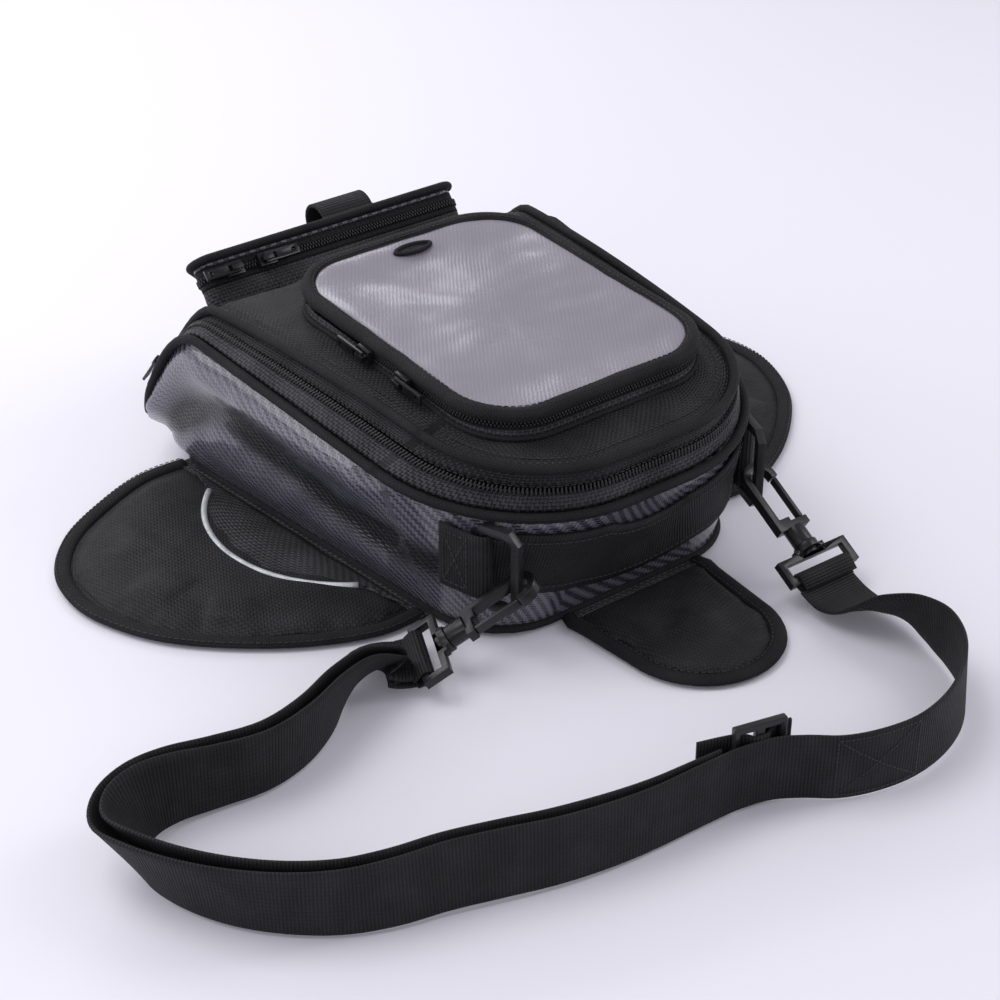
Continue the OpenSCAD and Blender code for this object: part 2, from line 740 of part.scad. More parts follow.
// Three-bar adjuster that the strap threads through, standing on edge
module strap_adjuster() {
    color("#0f0f11") translate(adjuster_at) rotate([0, 0, adjuster_turn]) {
        rotate([90, 0, 0]) translate([0, 0, -2]) linear_extrude(4) difference() {
            translate([-14, -22]) square([28, 46]);
            translate([-10.5, -19.4]) square([8, 39.6]);
            translate([2.5, -19.4]) square([8, 39.6]);
        }
    }
}
module strap_main() {
    color("#151517") skin([for (i = [0:len(strap_route) - 1]) strap_ring(strap_route, i)]);
}
module strap_return() {
    color("#151517")
        skin([for (i = [return_from:len(strap_route) - 1]) strap_ring(strap_route, i, return_gap(i))]);
}

base_panel();
base_board();
side_wall();
wall_foam();
body_piping();
body_zip_tape();
hinge_seam();
front_band();
ring_tab_left();
ring_tab_right();
ring_left();
ring_right();
lid_panel();
lid_piping();
lid_zip_tape();
pocket_gusset();
pocket_zip_tape();
pocket_rim();
pocket_window();
pouch_shell();
pouch_zip_tape();
pouch_cover();
pouch_piping();
handle_loop();
main_slider_upper();
main_pull_upper();
main_slider_lower();
main_pull_lower();
pocket_slider_rear();
pocket_pull_rear();
pocket_slider_front();
pocket_pull_front();
pouch_slider_outer();
pouch_pull_outer();
pouch_slider_inner();
pouch_pull_inner();
wing_left();
wing_left_binding();
wing_left_pocket();
wing_left_piping();
wing_left_magnets();
wing_right();
wing_right_binding();
wing_right_pocket();
wing_right_piping();
wing_right_magnets();
front_flap();
flap_binding();
flap_magnet();
hook_left();
hook_gate_left();
hook_frame_left();
hook_right();
hook_gate_right();
hook_frame_right();
strap_adjuster();
strap_main();
strap_return();
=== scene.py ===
# Motorcycle tank bag: the visual model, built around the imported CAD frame.
# Shapes are worked out in millimetres and turned into metres when a mesh is made.
import math
import bmesh
import bpy
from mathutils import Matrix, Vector, noise


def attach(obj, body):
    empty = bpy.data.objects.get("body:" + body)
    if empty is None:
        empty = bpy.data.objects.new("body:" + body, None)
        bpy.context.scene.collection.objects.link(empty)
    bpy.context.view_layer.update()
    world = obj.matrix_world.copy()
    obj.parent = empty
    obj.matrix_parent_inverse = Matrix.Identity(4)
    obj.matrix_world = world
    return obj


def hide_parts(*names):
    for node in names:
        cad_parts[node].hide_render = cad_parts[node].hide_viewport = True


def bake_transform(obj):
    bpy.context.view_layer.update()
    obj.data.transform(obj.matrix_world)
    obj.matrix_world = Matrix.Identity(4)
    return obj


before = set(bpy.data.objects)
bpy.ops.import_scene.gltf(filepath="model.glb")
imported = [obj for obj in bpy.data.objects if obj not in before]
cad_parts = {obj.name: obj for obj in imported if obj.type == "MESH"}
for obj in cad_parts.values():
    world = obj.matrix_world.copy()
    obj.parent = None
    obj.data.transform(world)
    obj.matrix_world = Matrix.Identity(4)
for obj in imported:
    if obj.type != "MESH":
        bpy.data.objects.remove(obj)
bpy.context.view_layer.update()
MM = 0.001

# ---------------- camera, light, floor
camera = bpy.data.objects.new("camera", bpy.data.cameras.new("camera"))
bpy.context.scene.collection.objects.link(camera)
camera.location = (-0.6516, -0.8812, 0.6687)
camera.rotation_euler = (math.radians(58.11), 0, math.radians(-37.69))
camera.data.sensor_width = 36
camera.data.lens = 79.28
bpy.context.scene.camera = camera


def area_light(name, place, aim, size, power, tint=(1, 1, 1)):
    lamp = bpy.data.lights.new(name, "AREA")
    lamp.shape = "RECTANGLE"
    lamp.size, lamp.size_y = size
    lamp.energy = power
    lamp.color = tint
    obj = bpy.data.objects.new(name, lamp)
    obj.location = place
    obj.rotation_euler = (Vector(aim) - Vector(place)).to_track_quat("-Z", "Y").to_euler()
    bpy.context.scene.collection.objects.link(obj)


area_light("key", (-0.7, 0.5, 1.7), (0, 0, 0.05), (1.2, 1.2), 14)
area_light("front_fill", (-1.3, -1.5, 0.9), (0, -0.1, 0.05), (1.6, 1.0), 9, (0.95, 0.94, 1))
area_light("right_strip", (1.3, -0.7, 0.9), (0, 0, 0.08), (0.5, 1.4), 8)
area_light("left_strip", (-1.4, 1.4, 0.75), (0, 0, 0.08), (1.5, 0.8), 11, (0.95, 0.94, 1))
area_light("back_strip", (0.2, 1.5, 0.9), (0, 0, 0.1), (1.6, 0.5), 8)
world = bpy.data.worlds.new("studio")
world.use_nodes = True
world.node_tree.nodes["Background"].inputs[0].default_value = (0.93, 0.92, 1, 1)
world.node_tree.nodes["Background"].inputs[1].default_value = 0.56
bpy.context.scene.world = world
bpy.context.scene.view_settings.view_transform = "Standard"


# ---------------- materials
class Look:
    """A material being built: one Principled shader and short ways to add nodes."""

    def __init__(self, name, color, rough, **sockets):
        self.mat = bpy.data.materials.new(name)
        self.mat.use_nodes = True
        self.tree = self.mat.node_tree
        self.shader = self.tree.nodes["Principled BSDF"]
        self.shader.inputs["Base Color"].default_value = (*color, 1)
        self.shader.inputs["Roughness"].default_value = rough
        for key, value in sockets.items():
            self.shader.inputs[key.replace("_", " ")].default_value = value

    def node(self, kind, inputs=(), **props):
        made = self.tree.nodes.new(kind)
        for key, value in props.items():
            setattr(made, key, value)
        for key, value in dict(inputs).items():
            self.put(value, made.inputs[key])
        return made

    def put(self, value, socket):
        if isinstance(value, bpy.types.NodeSocket):
            self.tree.links.new(value, socket)
        else:
            socket.default_value = value

    def math(self, op, a, b=0.0, c=0.0):
        return self.node("ShaderNodeMath", {0: a, 1: b, 2: c}, operation=op).outputs[0]

    def wave(self, value, rate):
        return self.math("ABSOLUTE", self.math("SINE", self.math("MULTIPLY", value, rate)))

    def coords(self, kind, turn=0.0):
        place = self.node("ShaderNodeTexCoord").outputs[kind]
        if turn:
            place = self.node("ShaderNodeMapping", {"Vector": place, "Rotation": (0, 0, turn)}).outputs[0]
        return place

    def noise(self, place, scale, detail=3.0):
        return self.node("ShaderNodeTexNoise", {"Vector": place, "Scale": scale, "Detail": detail}).outputs["Fac"]

    def ramp(self, value, low, high, out_low, out_high):
        return self.node("ShaderNodeMapRange", {0: value, 1: low, 2: high, 3: out_low, 4: out_high}).outputs[0]

    def color(self, fac, dark, light):
        made = self.node("ShaderNodeMix", data_type="RGBA")
        self.put(fac, made.inputs[0])
        made.inputs[6].default_value = (*dark, 1)
        made.inputs[7].default_value = (*light, 1)
        self.tree.links.new(made.outputs[2], self.shader.inputs["Base Color"])

    def rough(self, value):
        self.put(value, self.shader.inputs["Roughness"])

    def bump(self, *layers):
        """Each layer is (height, distance in metres, strength)."""
        normal = None
        for height, distance, strength in layers:
            made = self.node("ShaderNodeBump", {"Height": height, "Distance": distance, "Strength": strength})
            if normal:
                self.put(normal, made.inputs["Normal"])
            normal = made.outputs[0]
        self.put(normal, self.shader.inputs["Normal"])

    def weave(self, place, cell, repeat):
        """Threads over and under: returns (height, which thread is on top). repeat 2 is plain, 4 is twill."""
        parts = self.node("ShaderNodeSeparateXYZ", {0: place})
        a = self.math("DIVIDE", parts.outputs[0], cell)
        b = self.math("DIVIDE", parts.outputs[1], cell)
        steps = self.math("ADD", self.math("FLOOR", a), self.math("FLOOR", b))
        over = self.math("LESS_THAN", self.math("FLOORED_MODULO", steps, repeat), repeat / 2 - 0.1)
        high_a, high_b = self.wave(a, math.pi), self.wave(b, math.pi)
        under = self.math("SUBTRACT", 1.0, over)
        height = self.math("ADD", self.math("MULTIPLY", over, high_a), self.math("MULTIPLY", under, high_b))
        return height, over


CLOTH = {"Sheen_Weight": 0.01, "Sheen_Roughness": 0.4, "Specular_IOR_Level": 0.2}


def fabric(name, dark, light, cell, repeat=2.0, coord="UV", turn=0.0, rough=0.62, depth=0.0003):
    look = Look(name, dark, rough, **CLOTH)
    place = look.coords(coord, turn)
    height, over = look.weave(place, cell, repeat)
    solid = look.coords("Object")
    patch = look.noise(solid, 38, 4)
    lint = look.noise(solid, 1400, 2)
    tone = look.math("ADD", look.math("MULTIPLY", height, 0.55), look.ramp(patch, 0.35, 0.7, 0, 0.45))
    look.color(tone, dark, light)
    look.rough(look.ramp(lint, 0.3, 0.7, rough - 0.12, rough + 0.08))
    look.bump((patch, 0.0015, 0.25), (height, depth, 0.8), (lint, 0.0001, 0.4))
    return look.mat


def carbon():
    look = Look("carbon_sheet", (0.07, 0.07, 0.085), 0.25, Coat_Weight=0.8, Coat_Roughness=0.1)
    place = look.coords("UV")
    height, over = look.weave(place, 0.0018, 4.0)
    solid = look.coords("Object")
    crease = look.noise(solid, 22, 5)
    grain = look.noise(solid, 900, 2)
    threads = look.math("ADD", look.math("MULTIPLY", over, 0.6), look.math("MULTIPLY", height, 0.35))
    # Painted shade: the wall's fold attribute darkens the twill colour deep in the long fold, and thins the coat there
    fold = look.node("ShaderNodeAttribute", attribute_name="fold").outputs["Fac"]
    look.color(look.math("MULTIPLY", threads, look.ramp(fold, 0.05, 0.65, 1, 0.04)),
               (0.003, 0.003, 0.005), (0.145, 0.139, 0.18))
    look.put(look.ramp(fold, 0.05, 0.65, 0.85, 0.2), look.shader.inputs["Coat Weight"])
    look.rough(look.ramp(look.math("ADD", over, grain), 0.3, 1.7, 0.2, 0.42))
    look.bump((crease, 0.004, 0.3), (height, 0.0005, 0.75), (grain, 0.00015, 0.5))
    return look.mat


def webbing():
    look = Look("ribbed_webbing", (0.015, 0.015, 0.016), 0.7, **CLOTH)
    parts = look.node("ShaderNodeSeparateXYZ", {0: look.coords("UV")})
    rib = look.wave(parts.outputs[0], math.pi / 0.0017)
    cord_line = look.wave(parts.outputs[1], math.pi / 0.0024)
    solid = look.coords("Object")
    wear = look.noise(solid, 60, 4)
    lint = look.noise(solid, 1600, 2)
    tone = look.math("ADD", look.math("MULTIPLY", rib, 0.6), look.ramp(wear, 0.4, 0.75, 0, 0.4))
    look.color(tone, (0.0025, 0.0025, 0.003), (0.021, 0.021, 0.023))
    look.rough(look.ramp(lint, 0.3, 0.7, 0.55, 0.75))
    look.bump((rib, 0.0004, 0.9), (cord_line, 0.0002, 0.5), (lint, 0.0001, 0.4))
    return look.mat


def plastic(name, color, rough, grain=0.35, metallic=0.0):
    look = Look(name, color, rough, Metallic=metallic, Specular_IOR_Level=0.32, Coat_Weight=0.06, Coat_Roughness=0.15)
    solid = look.coords("Object")
    fine = look.noise(solid, 1100, 2)
    wide = look.noise(solid, 90, 4)
    # Painted highlight: convex edges (Pointiness) are made lighter, plus a lighter random mottle from the broad noise
    edge = look.node("ShaderNodeNewGeometry").outputs["Pointiness"]
    painted_edge_highlight_and_mottle = look.math("ADD", look.ramp(edge, 0.52, 0.62, 0, 0.7), look.ramp(wide, 0.5, 0.8, 0, 0.3))
    look.color(painted_edge_highlight_and_mottle, color, tuple(min(1, 2 * c + 0.006) for c in color))
    look.rough(look.ramp(wide, 0.3, 0.7, rough - 0.08, rough + 0.1))
    look.bump((wide, 0.0004, 0.15), (fine, 0.0001, grain))
    return look.mat


def film():
    look = Look("clear_film", (0.4, 0.385, 0.44), 0.24, Coat_Weight=0.25, Coat_Roughness=0.12, Alpha=0.86)
    solid = look.coords("Object")
    broad = look.noise(solid, 14, 3)
    ribs = look.node("ShaderNodeTexWave", {"Vector": look.coords("Object", 0.6), "Scale": 150.0, "Distortion": 1.5})
    look.color(look.math("ADD", look.math("MULTIPLY", ribs.outputs["Fac"], 0.25), look.ramp(broad, 0.3, 0.7, 0.2, 0.4)),
               (0.2, 0.19, 0.225), (0.31, 0.295, 0.345))
    look.rough(look.ramp(broad, 0.3, 0.7, 0.2, 0.34))
    look.bump((broad, 0.003, 0.12), (ribs.outputs["Fac"], 0.0002, 0.2))
    return look.mat


def reflective():
    look = Look("reflective_piping", (0.6, 0.61, 0.63), 0.4, Metallic=0.25)
    solid = look.coords("Object")
    beads = look.node("ShaderNodeTexVoronoi", {"Vector": solid, "Scale": 1500.0}).outputs["Distance"]
    dirt = look.noise(solid, 70, 4)
    look.color(look.ramp(dirt, 0.35, 0.7, 0, 1), (0.62, 0.63, 0.65), (0.36, 0.37, 0.39))
    look.rough(look.ramp(beads, 0, 0.8, 0.25, 0.6))
    look.bump((beads, 0.0002, 0.6))
    return look.mat


BLACK = (0.0025, 0.0025, 0.003)
DEEP = (0.001, 0.001, 0.0014)
LOOKS = {
    "lid_cloth": fabric("lid_cloth", (0.0015, 0.0015, 0.002), (0.026, 0.026, 0.029), 0.0016, rough=0.52, depth=0.0006),
    "mesh_cloth": fabric("mesh_cloth", DEEP, (0.055, 0.055, 0.06), 0.0021, rough=0.5, depth=0.0008),
    "pad_cloth": fabric("pad_cloth", DEEP, (0.024, 0.024, 0.027), 0.0017, coord="Object", turn=0.5),
    "binding": fabric("binding", BLACK, (0.015, 0.015, 0.017), 0.0012, rough=0.75),
    "tape": fabric("zip_tape", (0.002, 0.002, 0.0025), (0.012, 0.012, 0.014), 0.0009, 4.0),
    "base_cloth": fabric("base_cloth", BLACK, (0.018, 0.018, 0.02), 0.0022, coord="Object"),
    "lining": fabric("lining", (0.02, 0.02, 0.022), (0.06, 0.06, 0.065), 0.002, coord="Object"),
    "thread": fabric("thread", (0.012, 0.012, 0.013), (0.07, 0.07, 0.075), 0.0005, coord="Object"),
    "carbon": carbon(),
    "webbing": webbing(),
    "coil": plastic("zip_coil", (0.01, 0.01, 0.011), 0.35, 0.1),
    "plastic": plastic("moulded_plastic", (0.009, 0.009, 0.01), 0.3),
    "metal": plastic("enamelled_metal", (0.016, 0.016, 0.018), 0.24, 0.15, 0.6),
    "board": plastic("stiff_board", (0.05, 0.05, 0.055), 0.55),
    "magnet": plastic("magnet_coat", (0.12, 0.12, 0.125), 0.4),
    "film": film(),
    "reflective": reflective(),
}
stage_look = Look("floor", (0.76, 0.75, 0.81), 0.55)
stage_look.bump((stage_look.noise(stage_look.coords("Object"), 3), 0.001, 0.05))

bpy.ops.mesh.primitive_grid_add(x_subdivisions=2, y_subdivisions=2, size=14, location=(0, 0, -0.0006))
floor = bpy.context.object
floor.name = "floor"
floor.data.materials.append(stage_look.mat)


def piece(name, points, faces, look, body, stands_for=(), uvs=None):
    """Make a mesh object from millimetre points, with UVs in metres, riding on a body; a joint's tuple in place of a
    body leaves it fixed where it is.
    """
    mesh = bpy.data.meshes.new(name)
    mesh.from_pydata([Vector(p) * MM for p in points], [], faces)
    mesh.validate()
    if uvs:
        layer = mesh.uv_layers.new(name="UVMap")
        for loop in mesh.loops:
            layer.data[loop.index].uv = uvs[loop.vertex_index]
    mesh.polygons.foreach_set("use_smooth", [True] * len(mesh.polygons))
    mesh.materials.append(LOOKS[look])
    obj = bpy.data.objects.new(name, mesh)
    bpy.context.scene.collection.objects.link(obj)
    if isinstance(body, tuple):
        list(body)
        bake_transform(obj)
    else:
        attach(obj, body)
    if stands_for:
        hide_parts(*stands_for)
    return obj


def modifier(obj, kind, **settings):
    mod = obj.modifiers.new(kind.lower(), kind)
    for key, value in settings.items():
        setattr(mod, key, value)
    return mod


def grid(name, rows, look, body, stands_for=(), closed=True, thickness=None, cap=False, offset=-1.0):
    """Surface through rows of points; closed joins each row's ends, cap closes the last row."""
    count = len(rows[0])
    points = [Vector(p) for row in rows for p in row]
    wide = count if closed else count - 1
    faces = []
    for i in range(len(rows) - 1):
        for k in range(wide):
            j = (k + 1) % count
            faces.append((i * count + k, i * count + j, (i + 1) * count + j, (i + 1) * count + k))
    uvs = []
    along = [0.0] * count
    middle = rows[len(rows) // 2]
    for k in range(1, count):
        along[k] = along[k - 1] + (Vector(middle[k]) - Vector(middle[k - 1])).length * MM
    up = [0.0] * count
    for i, row in enumerate(rows):
        for k in range(count):
            if i:
                up[k] += (Vector(row[k]) - Vector(rows[i - 1][k])).length * MM
            uvs.append((along[k], up[k]))
    if cap:
        last = (len(rows) - 1) * count
        points.append(sum((points[last + k] for k in range(count)), Vector()) / count)
        uvs.append((0, 0))
        faces += [(last + k, last + (k + 1) % count, len(points) - 1) for k in range(count)]
    obj = piece(name, points, faces, look, body, stands_for, uvs)
    if thickness:
        modifier(obj, "SOLIDIFY", thickness=thickness * MM, offset=offset)
    return obj


def fold_cloth(name, front, back, look, bend, stands_for=()):
    """Cloth with real thickness between two sheets of points; bend is (body, body, start, end) of a joint, but the
    cloth does not bend with it and stays fixed in place.
    """
    rows = [[row[k] for row in front] + [row[k] for row in reversed(back)] for k in range(len(front[0]))]
    return grid(name, rows, look, bend, stands_for, cap=True)


def sweep(name, path, section, look, body, stands_for=(), closed=False, ups=None):
    """Sweep a closed section of (sideways, upward) offsets along a path of points."""
    path = [Vector(p) for p in path]
    count = len(path)
    side_n = len(section)
    points, uvs = [], []
    gone = 0.0
    round_len = [0.0]
    for k in range(1, side_n):
        step = Vector(section[k]) - Vector(section[k - 1])
        round_len.append(round_len[-1] + step.length * MM)
    for i, p in enumerate(path):
        before = path[(i - 1) % count] if closed or i else p
        after = path[(i + 1) % count] if closed or i < count - 1 else p
        t = (after - before).normalized()
        lift = Vector(ups[i] if ups else (0, 0, 1))
        side = t.cross(lift).normalized()
        top = side.cross(t)
        if i:
            gone += (p - path[i - 1]).length * MM
        for k, (a, b) in enumerate(section):
            points.append(p + side * a + top * b)
            uvs.append((gone, round_len[k]))
    faces = []
    for i in range(count if closed else count - 1):
        m = (i + 1) % count
        for k in range(side_n):
            j = (k + 1) % side_n
            faces.append((i * side_n + k, m * side_n + k, m * side_n + j, i * side_n + j))
    if not closed:
        faces.append(tuple(range(side_n)))
        faces.append(tuple(reversed(range((count - 1) * side_n, count * side_n))))
    return piece(name, points, faces, look, body, stands_for, uvs)


def circle(r, n):
    return [(r * math.cos(2 * math.pi * i / n), r * math.sin(2 * math.pi * i / n)) for i in range(n)]


def strap_section(width, thick, rows=8):
    """Webbing's cross-section, with rounded edges; sideways is the thickness."""
    half = width / 2
    right = [(thick / 2, half * (2 * i / rows - 1) * 0.965) for i in range(rows + 1)]
    left = [(-a, b) for a, b in reversed(right)]
    return right + [(0, half)] + left + [(0, -half)]


def curve_through(points, steps):
    """Catmull-Rom curve through points of any dimension."""
    out = []
    n = len(points)
    for i in range(n - 1):
        p = [points[max(i - 1, 0)], points[i], points[i + 1], points[min(i + 2, n - 1)]]
        for s in range(steps):
            t = s / steps
            out.append([
                0.5 * (2 * b + (c - a) * t + (2 * a - 5 * b + 4 * c - d) * t * t + (3 * b - a - 3 * c + d) * t ** 3)
                for a, b, c, d in zip(*p)
            ])
    out.append(list(points[-1]))
    return out


def walk(path, spacing, first):
    """Evenly spaced points, each with its direction and the number of the stretch that it lies on."""
    want, gone = first, 0.0
    for i, (a, b) in enumerate(zip(path, path[1:])):
        a, b = Vector(a), Vector(b)
        size = (b - a).length
        while size > 0 and want <= gone + size:
            yield a + (b - a) * ((want - gone) / size), (b - a).normalized(), i
            want += spacing
        gone += size


def resample(path, spacing):
    return [(p, d) for p, d, i in walk(path, spacing, spacing / 2)]


def at_height(points, z):
    return [Vector((p.x, p.y, z)) for p in points]


def piping(name, path, radius, sides, body, stands_for=()):
    """A closed round cord of binding."""
    sweep(name, path, circle(radius, sides), "binding", body, stands_for, closed=True)


def studs(name, places, size, look, body, sides=6):
    """Small rounded bars at (point, along, outward): zip teeth and stitches; size is along, across, out."""
    points, faces = [], []
    length, across, out = size
    for at, along, outward in places:
        along = Vector(along).normalized()
        outward = Vector(outward).normalized()
        side = along.cross(outward).normalized()
        start = len(points)
        for end, shrink in ((-0.5, 0.55), (-0.38, 1), (0.38, 1), (0.5, 0.55)):
            for k in range(sides):
                a = 2 * math.pi * k / sides
                points.append(Vector(at) + along * length * end
                              + (side * math.cos(a) * across + outward * math.sin(a) * out) * shrink / 2)
        for ring in range(3):
            for k in range(sides):
                j = (k + 1) % sides
                low, high = start + ring * sides, start + (ring + 1) * sides
                faces.append((low + k, low + j, high + j, high + k))
        faces.append(tuple(start + k for k in reversed(range(sides))))
        faces.append(tuple(start + 3 * sides + k for k in range(sides)))
    return piece(name, points, faces, look, body)


def stitches(name, path, outward, body):
    """A row of stitches along a path; outward is one direction for all, or a function of the point."""
    face = outward if callable(outward) else (lambda p: outward)
    places = [(p, d, face(p)) for p, d in resample(path, 3.6)]
    return studs(name, places, (2.6, 0.7, 0.5), "thread", body, 5)


def mix(a, b, t):
    return a + (b - a) * t


def smooth(t):
    c = min(1, max(0, t))
    return c * c * (3 - 2 * c)


def ripple(p, scale, seed=0.0):
    return noise.noise(Vector((p[0] * scale + seed, p[1] * scale, p[2] * scale - seed)))


# ---------------- strap and its route
# Middle of the webbing and lean from upright, from the right frame to the left frame
ROUTE = [
    (82, -216, 11, 90), (82, -228, 7, 88), (82, -240, 8, 80), (83, -252, 12, 62), (85, -266, 17.4, 38),
    (87, -281, 19.8, 18), (86, -297, 19.8, 6), (79, -313, 19.6, 4), (67, -327, 19.6, 4), (50, -339, 19.6, 4),
    (30, -347, 19.5, 2), (8, -350, 19.4, 0), (-13, -347, 19.4, 0), (-31, -340, 19.4, 0), (-45, -329, 19.4, 0),
    (-58, -321, 19.4, 0), (-74, -317, 19.4, 0), (-84, -316, 19.4, 0), (-102, -315, 19.4, 0), (-124, -314, 19.4, 0),
    (-148, -311, 19.6, 2), (-174, -305, 19.8, 4), (-198, -297, 20.2, 6), (-222, -289, 20.2, 6),
    (-246, -283, 19.8, 4), (-268, -274, 19.4, 0), (-288, -260, 19.6, -4), (-305, -242, 19.6, -8),
    (-318, -221, 19.4, -14), (-326, -199, 19, -22), (-327, -180, 17.8, -32), (-319, -166, 18.4, -28),
    (-304, -158, 19.2, -18), (-286, -157, 19.8, -8), (-264, -161, 19.8, 0), (-240, -165, 20.2, 4),
    (-216, -160, 20.4, 6), (-192, -148, 20.6, 12), (-172, -137, 20.4, 30), (-156, -131, 17.4, 52),
    (-147, -128, 12, 74), (-140, -132.5, 9.2, 86), (-131.5, -137.6, 10, 90),
]
RETURN_FROM = 17
# Distance between the two layers of webbing, at the return's ends and in its middle
GAP_ENDS, GAP_MIDDLE = 3.8, 7
WEB_W = 38
WEB_T = 1.9
STEPS = 6


def strap_frames(first, gap=None):
    """Centre, width direction and direction of the thickness along the route from one of its points."""
    line = curve_through(ROUTE[first:], STEPS)
    out = []
    for i, q in enumerate(line):
        p = Vector(q[:3])
        t = (Vector(line[min(i + 1, len(line) - 1)][:3]) - Vector(line[max(i - 1, 0)][:3])).normalized()
        side = t.cross(Vector((0, 0, 1))).normalized()
        lean = math.radians(q[3])
        width = side.cross(t) * math.cos(lean) + side * math.sin(lean)
        across = width.cross(t)
        if gap:
            p = p - across * gap(i / (len(line) - 1))
        out.append((p, width, across))
    return out


def strap(name, node, frames):
    section = strap_section(WEB_W - 0.6, WEB_T)
    path = [f[0] for f in frames]
    obj = sweep(name, path, section, "webbing", "bag_body", [node], ups=[f[1] for f in frames])
    for v in obj.data.vertices:
        v.co.z = max(v.co.z, 0.0003)
    return obj, path


def run(path):
    return sum((b - a).length for a, b in zip(path, path[1:])) * MM


main_frames = strap_frames(0)
back_frames = strap_frames(RETURN_FROM, lambda f: mix(GAP_ENDS, GAP_MIDDLE, smooth(6 * f) * smooth(6 * (1 - f))))
strap_main, main_path = strap("shoulder_strap", "strap_main", main_frames)
strap_back, back_path = strap("shoulder_strap_return", "strap_return", back_frames)


def rounded(node, look, body, width, segments=3):
    """A copy of a CAD node with rounded edges, in its place."""
    source = bpy.data.objects[node]
    mesh = source.data.copy()
    obj = bpy.data.objects.new(node + "_moulding", mesh)
    bpy.context.scene.collection.objects.link(obj)
    obj.matrix_world = source.matrix_world.copy()
    mesh.materials.clear()
    mesh.materials.append(LOOKS[look])
    for poly in mesh.polygons:
        poly.material_index = 0
        poly.use_smooth = True
    modifier(obj, "WELD", merge_threshold=0.00001)
    modifier(obj, "DECIMATE", decimate_type="DISSOLVE", angle_limit=math.radians(2))
    modifier(obj, "BEVEL", width=width * MM, segments=segments, limit_method="ANGLE", angle_limit=math.radians(35),
             harden_normals=True)
    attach(obj, body)
    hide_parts(node)
    return obj


for side in ("left", "right"):
    for part, body, width, segments in (("ring", side + "_ring", 0.9, 3), ("hook", side + "_hook", 0.8, 3),
                                        ("hook_gate", side + "_gate", 0.5, 2), ("hook_frame", "bag_body", 0.7, 3)):
        node = part + "_" + side
        rounded(node, "plastic", body, width, segments)
rounded("strap_adjuster", "plastic", "bag_body", 0.9)
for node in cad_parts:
    if "slider" in node or "pull" in node:
        width = 0.55 if "pull" in node else 1.1
        rounded(node, "metal", node + "_body", width)

# Webbing folded round the bar of each frame
EYES = {"left": (Vector((-83.2, -159.3, 44)), Vector((-126, -139, 13))),
        "right": (Vector((83.2, -159.3, 44)), Vector((82, -216, 12)))}
EYE_OFFSET = 2
BAR_X = 60
SEAM_HALF = 0.42


def bar_loop(side):
    eye, toward = EYES[side]
    x = (toward - eye).normalized()
    z = (Vector((0, 0, 1)) - x * x.z).normalized()
    y = z.cross(x)
    middle = eye + y * EYE_OFFSET + x * BAR_X
    path = [middle + x * 7 + z * 2.0]
    for i in range(13):
        a = math.radians(70 + 220 * i / 12)
        path.append(middle + x * math.cos(a) * 3.6 + z * math.sin(a) * 3.6)
    path.append(middle + x * 7 - z * 2.0)
    section = strap_section(WEB_W - 1, 1.7)
    return sweep("strap_loop_" + side, path, section, "webbing", "bag_body", ups=[y] * len(path))


loops = {side: bar_loop(side) for side in EYES}


def seam_box(name, frames, first, last, gap):
    """A sewn rectangle with a cross, on the outer face of the webbing."""
    inside = frames[first:last]
    face = inside[0][2]
    lines = [([p + w * WEB_W * f + n * gap for p, w, n in inside], face) for f in (-SEAM_HALF, SEAM_HALF)]
    for s in (-1, 1):
        lines.append(([p + w * WEB_W * SEAM_HALF * s * (2 * i / (len(inside) - 1) - 1) + n * gap
                       for i, (p, w, n) in enumerate(inside)], face))
    for p, w, n in (inside[0], inside[-1]):
        lines.append(([p - w * WEB_W * SEAM_HALF + n * gap, p + w * WEB_W * SEAM_HALF + n * gap], n))
    places = [(q, d, out) for path, out in lines for q, d in resample(path, 2.6)]
    return studs(name, places, (2, 0.7, 0.5), "thread", "bag_body", 5)


seam_right = seam_box("strap_seam_right", main_frames, 8, 20, -WEB_T / 2 - 0.1)
ADJUSTER_AT, ADJUSTER_TURN = Vector((-63, -315.4)), math.radians(-14)
wrap_plan = [(-30, -4.6), (-20, -4), (-14, -3.4), (-9.5, -2.6), (-6, -0.6), (-3.6, 1.9), (0, 2.5), (3.6, 1.9),
             (6, -0.6), (9.5, -2.6), (14, -3.3), (19, -3.6)]
wrap_dir = Vector((math.cos(ADJUSTER_TURN), math.sin(ADJUSTER_TURN)))
wrap_out = Vector((wrap_dir.y, -wrap_dir.x))
wrap_path = at_height([ADJUSTER_AT + wrap_dir * a + wrap_out * b for a, b in wrap_plan], 22.6)
adjuster_wrap = sweep("adjuster_wrap", wrap_path, strap_section(35, 1.8), "webbing", "bag_body")
seam_adjuster = seam_box("strap_seam_adjuster", main_frames, 66, 80, WEB_T / 2 + 0.1)

run(main_path)
[p * MM for p in main_path]
run(back_path)
[p * MM for p in reversed(back_path)]

# ---------------- the bag's outlines
# Points in each corner and along each side of an outline
CORNER = 18
SIDE = 36
GROUP = CORNER + SIDE
RING = 4 * GROUP
# Rounded trapezoids: half width in front and behind, front and back y, corner radius in front and behind
BASE = (89, 118, -145, 146, 45, 46)
MIDDLE = (98, 128, -156, 146, 70, 36)
ZIP = (103, 131, -168, 140, 92, 20)
LID = (88, 114, -162, 148, 68, 24)
POCKET = (80, 80, -135, 63, 40, 40)
POUCH = (97, 54, 0, 60, 7, 20)
WALL_Z0 = 3.2


def round_corner(a, p, b, r):
    u, v = (a - p).normalized(), (b - p).normalized()
    half = math.acos(max(-1, min(1, u.dot(v)))) / 2
    sweep_angle = math.pi - 2 * half
    c = p + (u + v).normalized() * r / math.sin(half)
    s, e = p + u * r / math.tan(half) - c, p + v * r / math.tan(half) - c
    return [c + (s * math.sin(sweep_angle * (1 - i / CORNER)) + e * math.sin(sweep_angle * i / CORNER))
            / math.sin(sweep_angle) for i in range(CORNER + 1)]


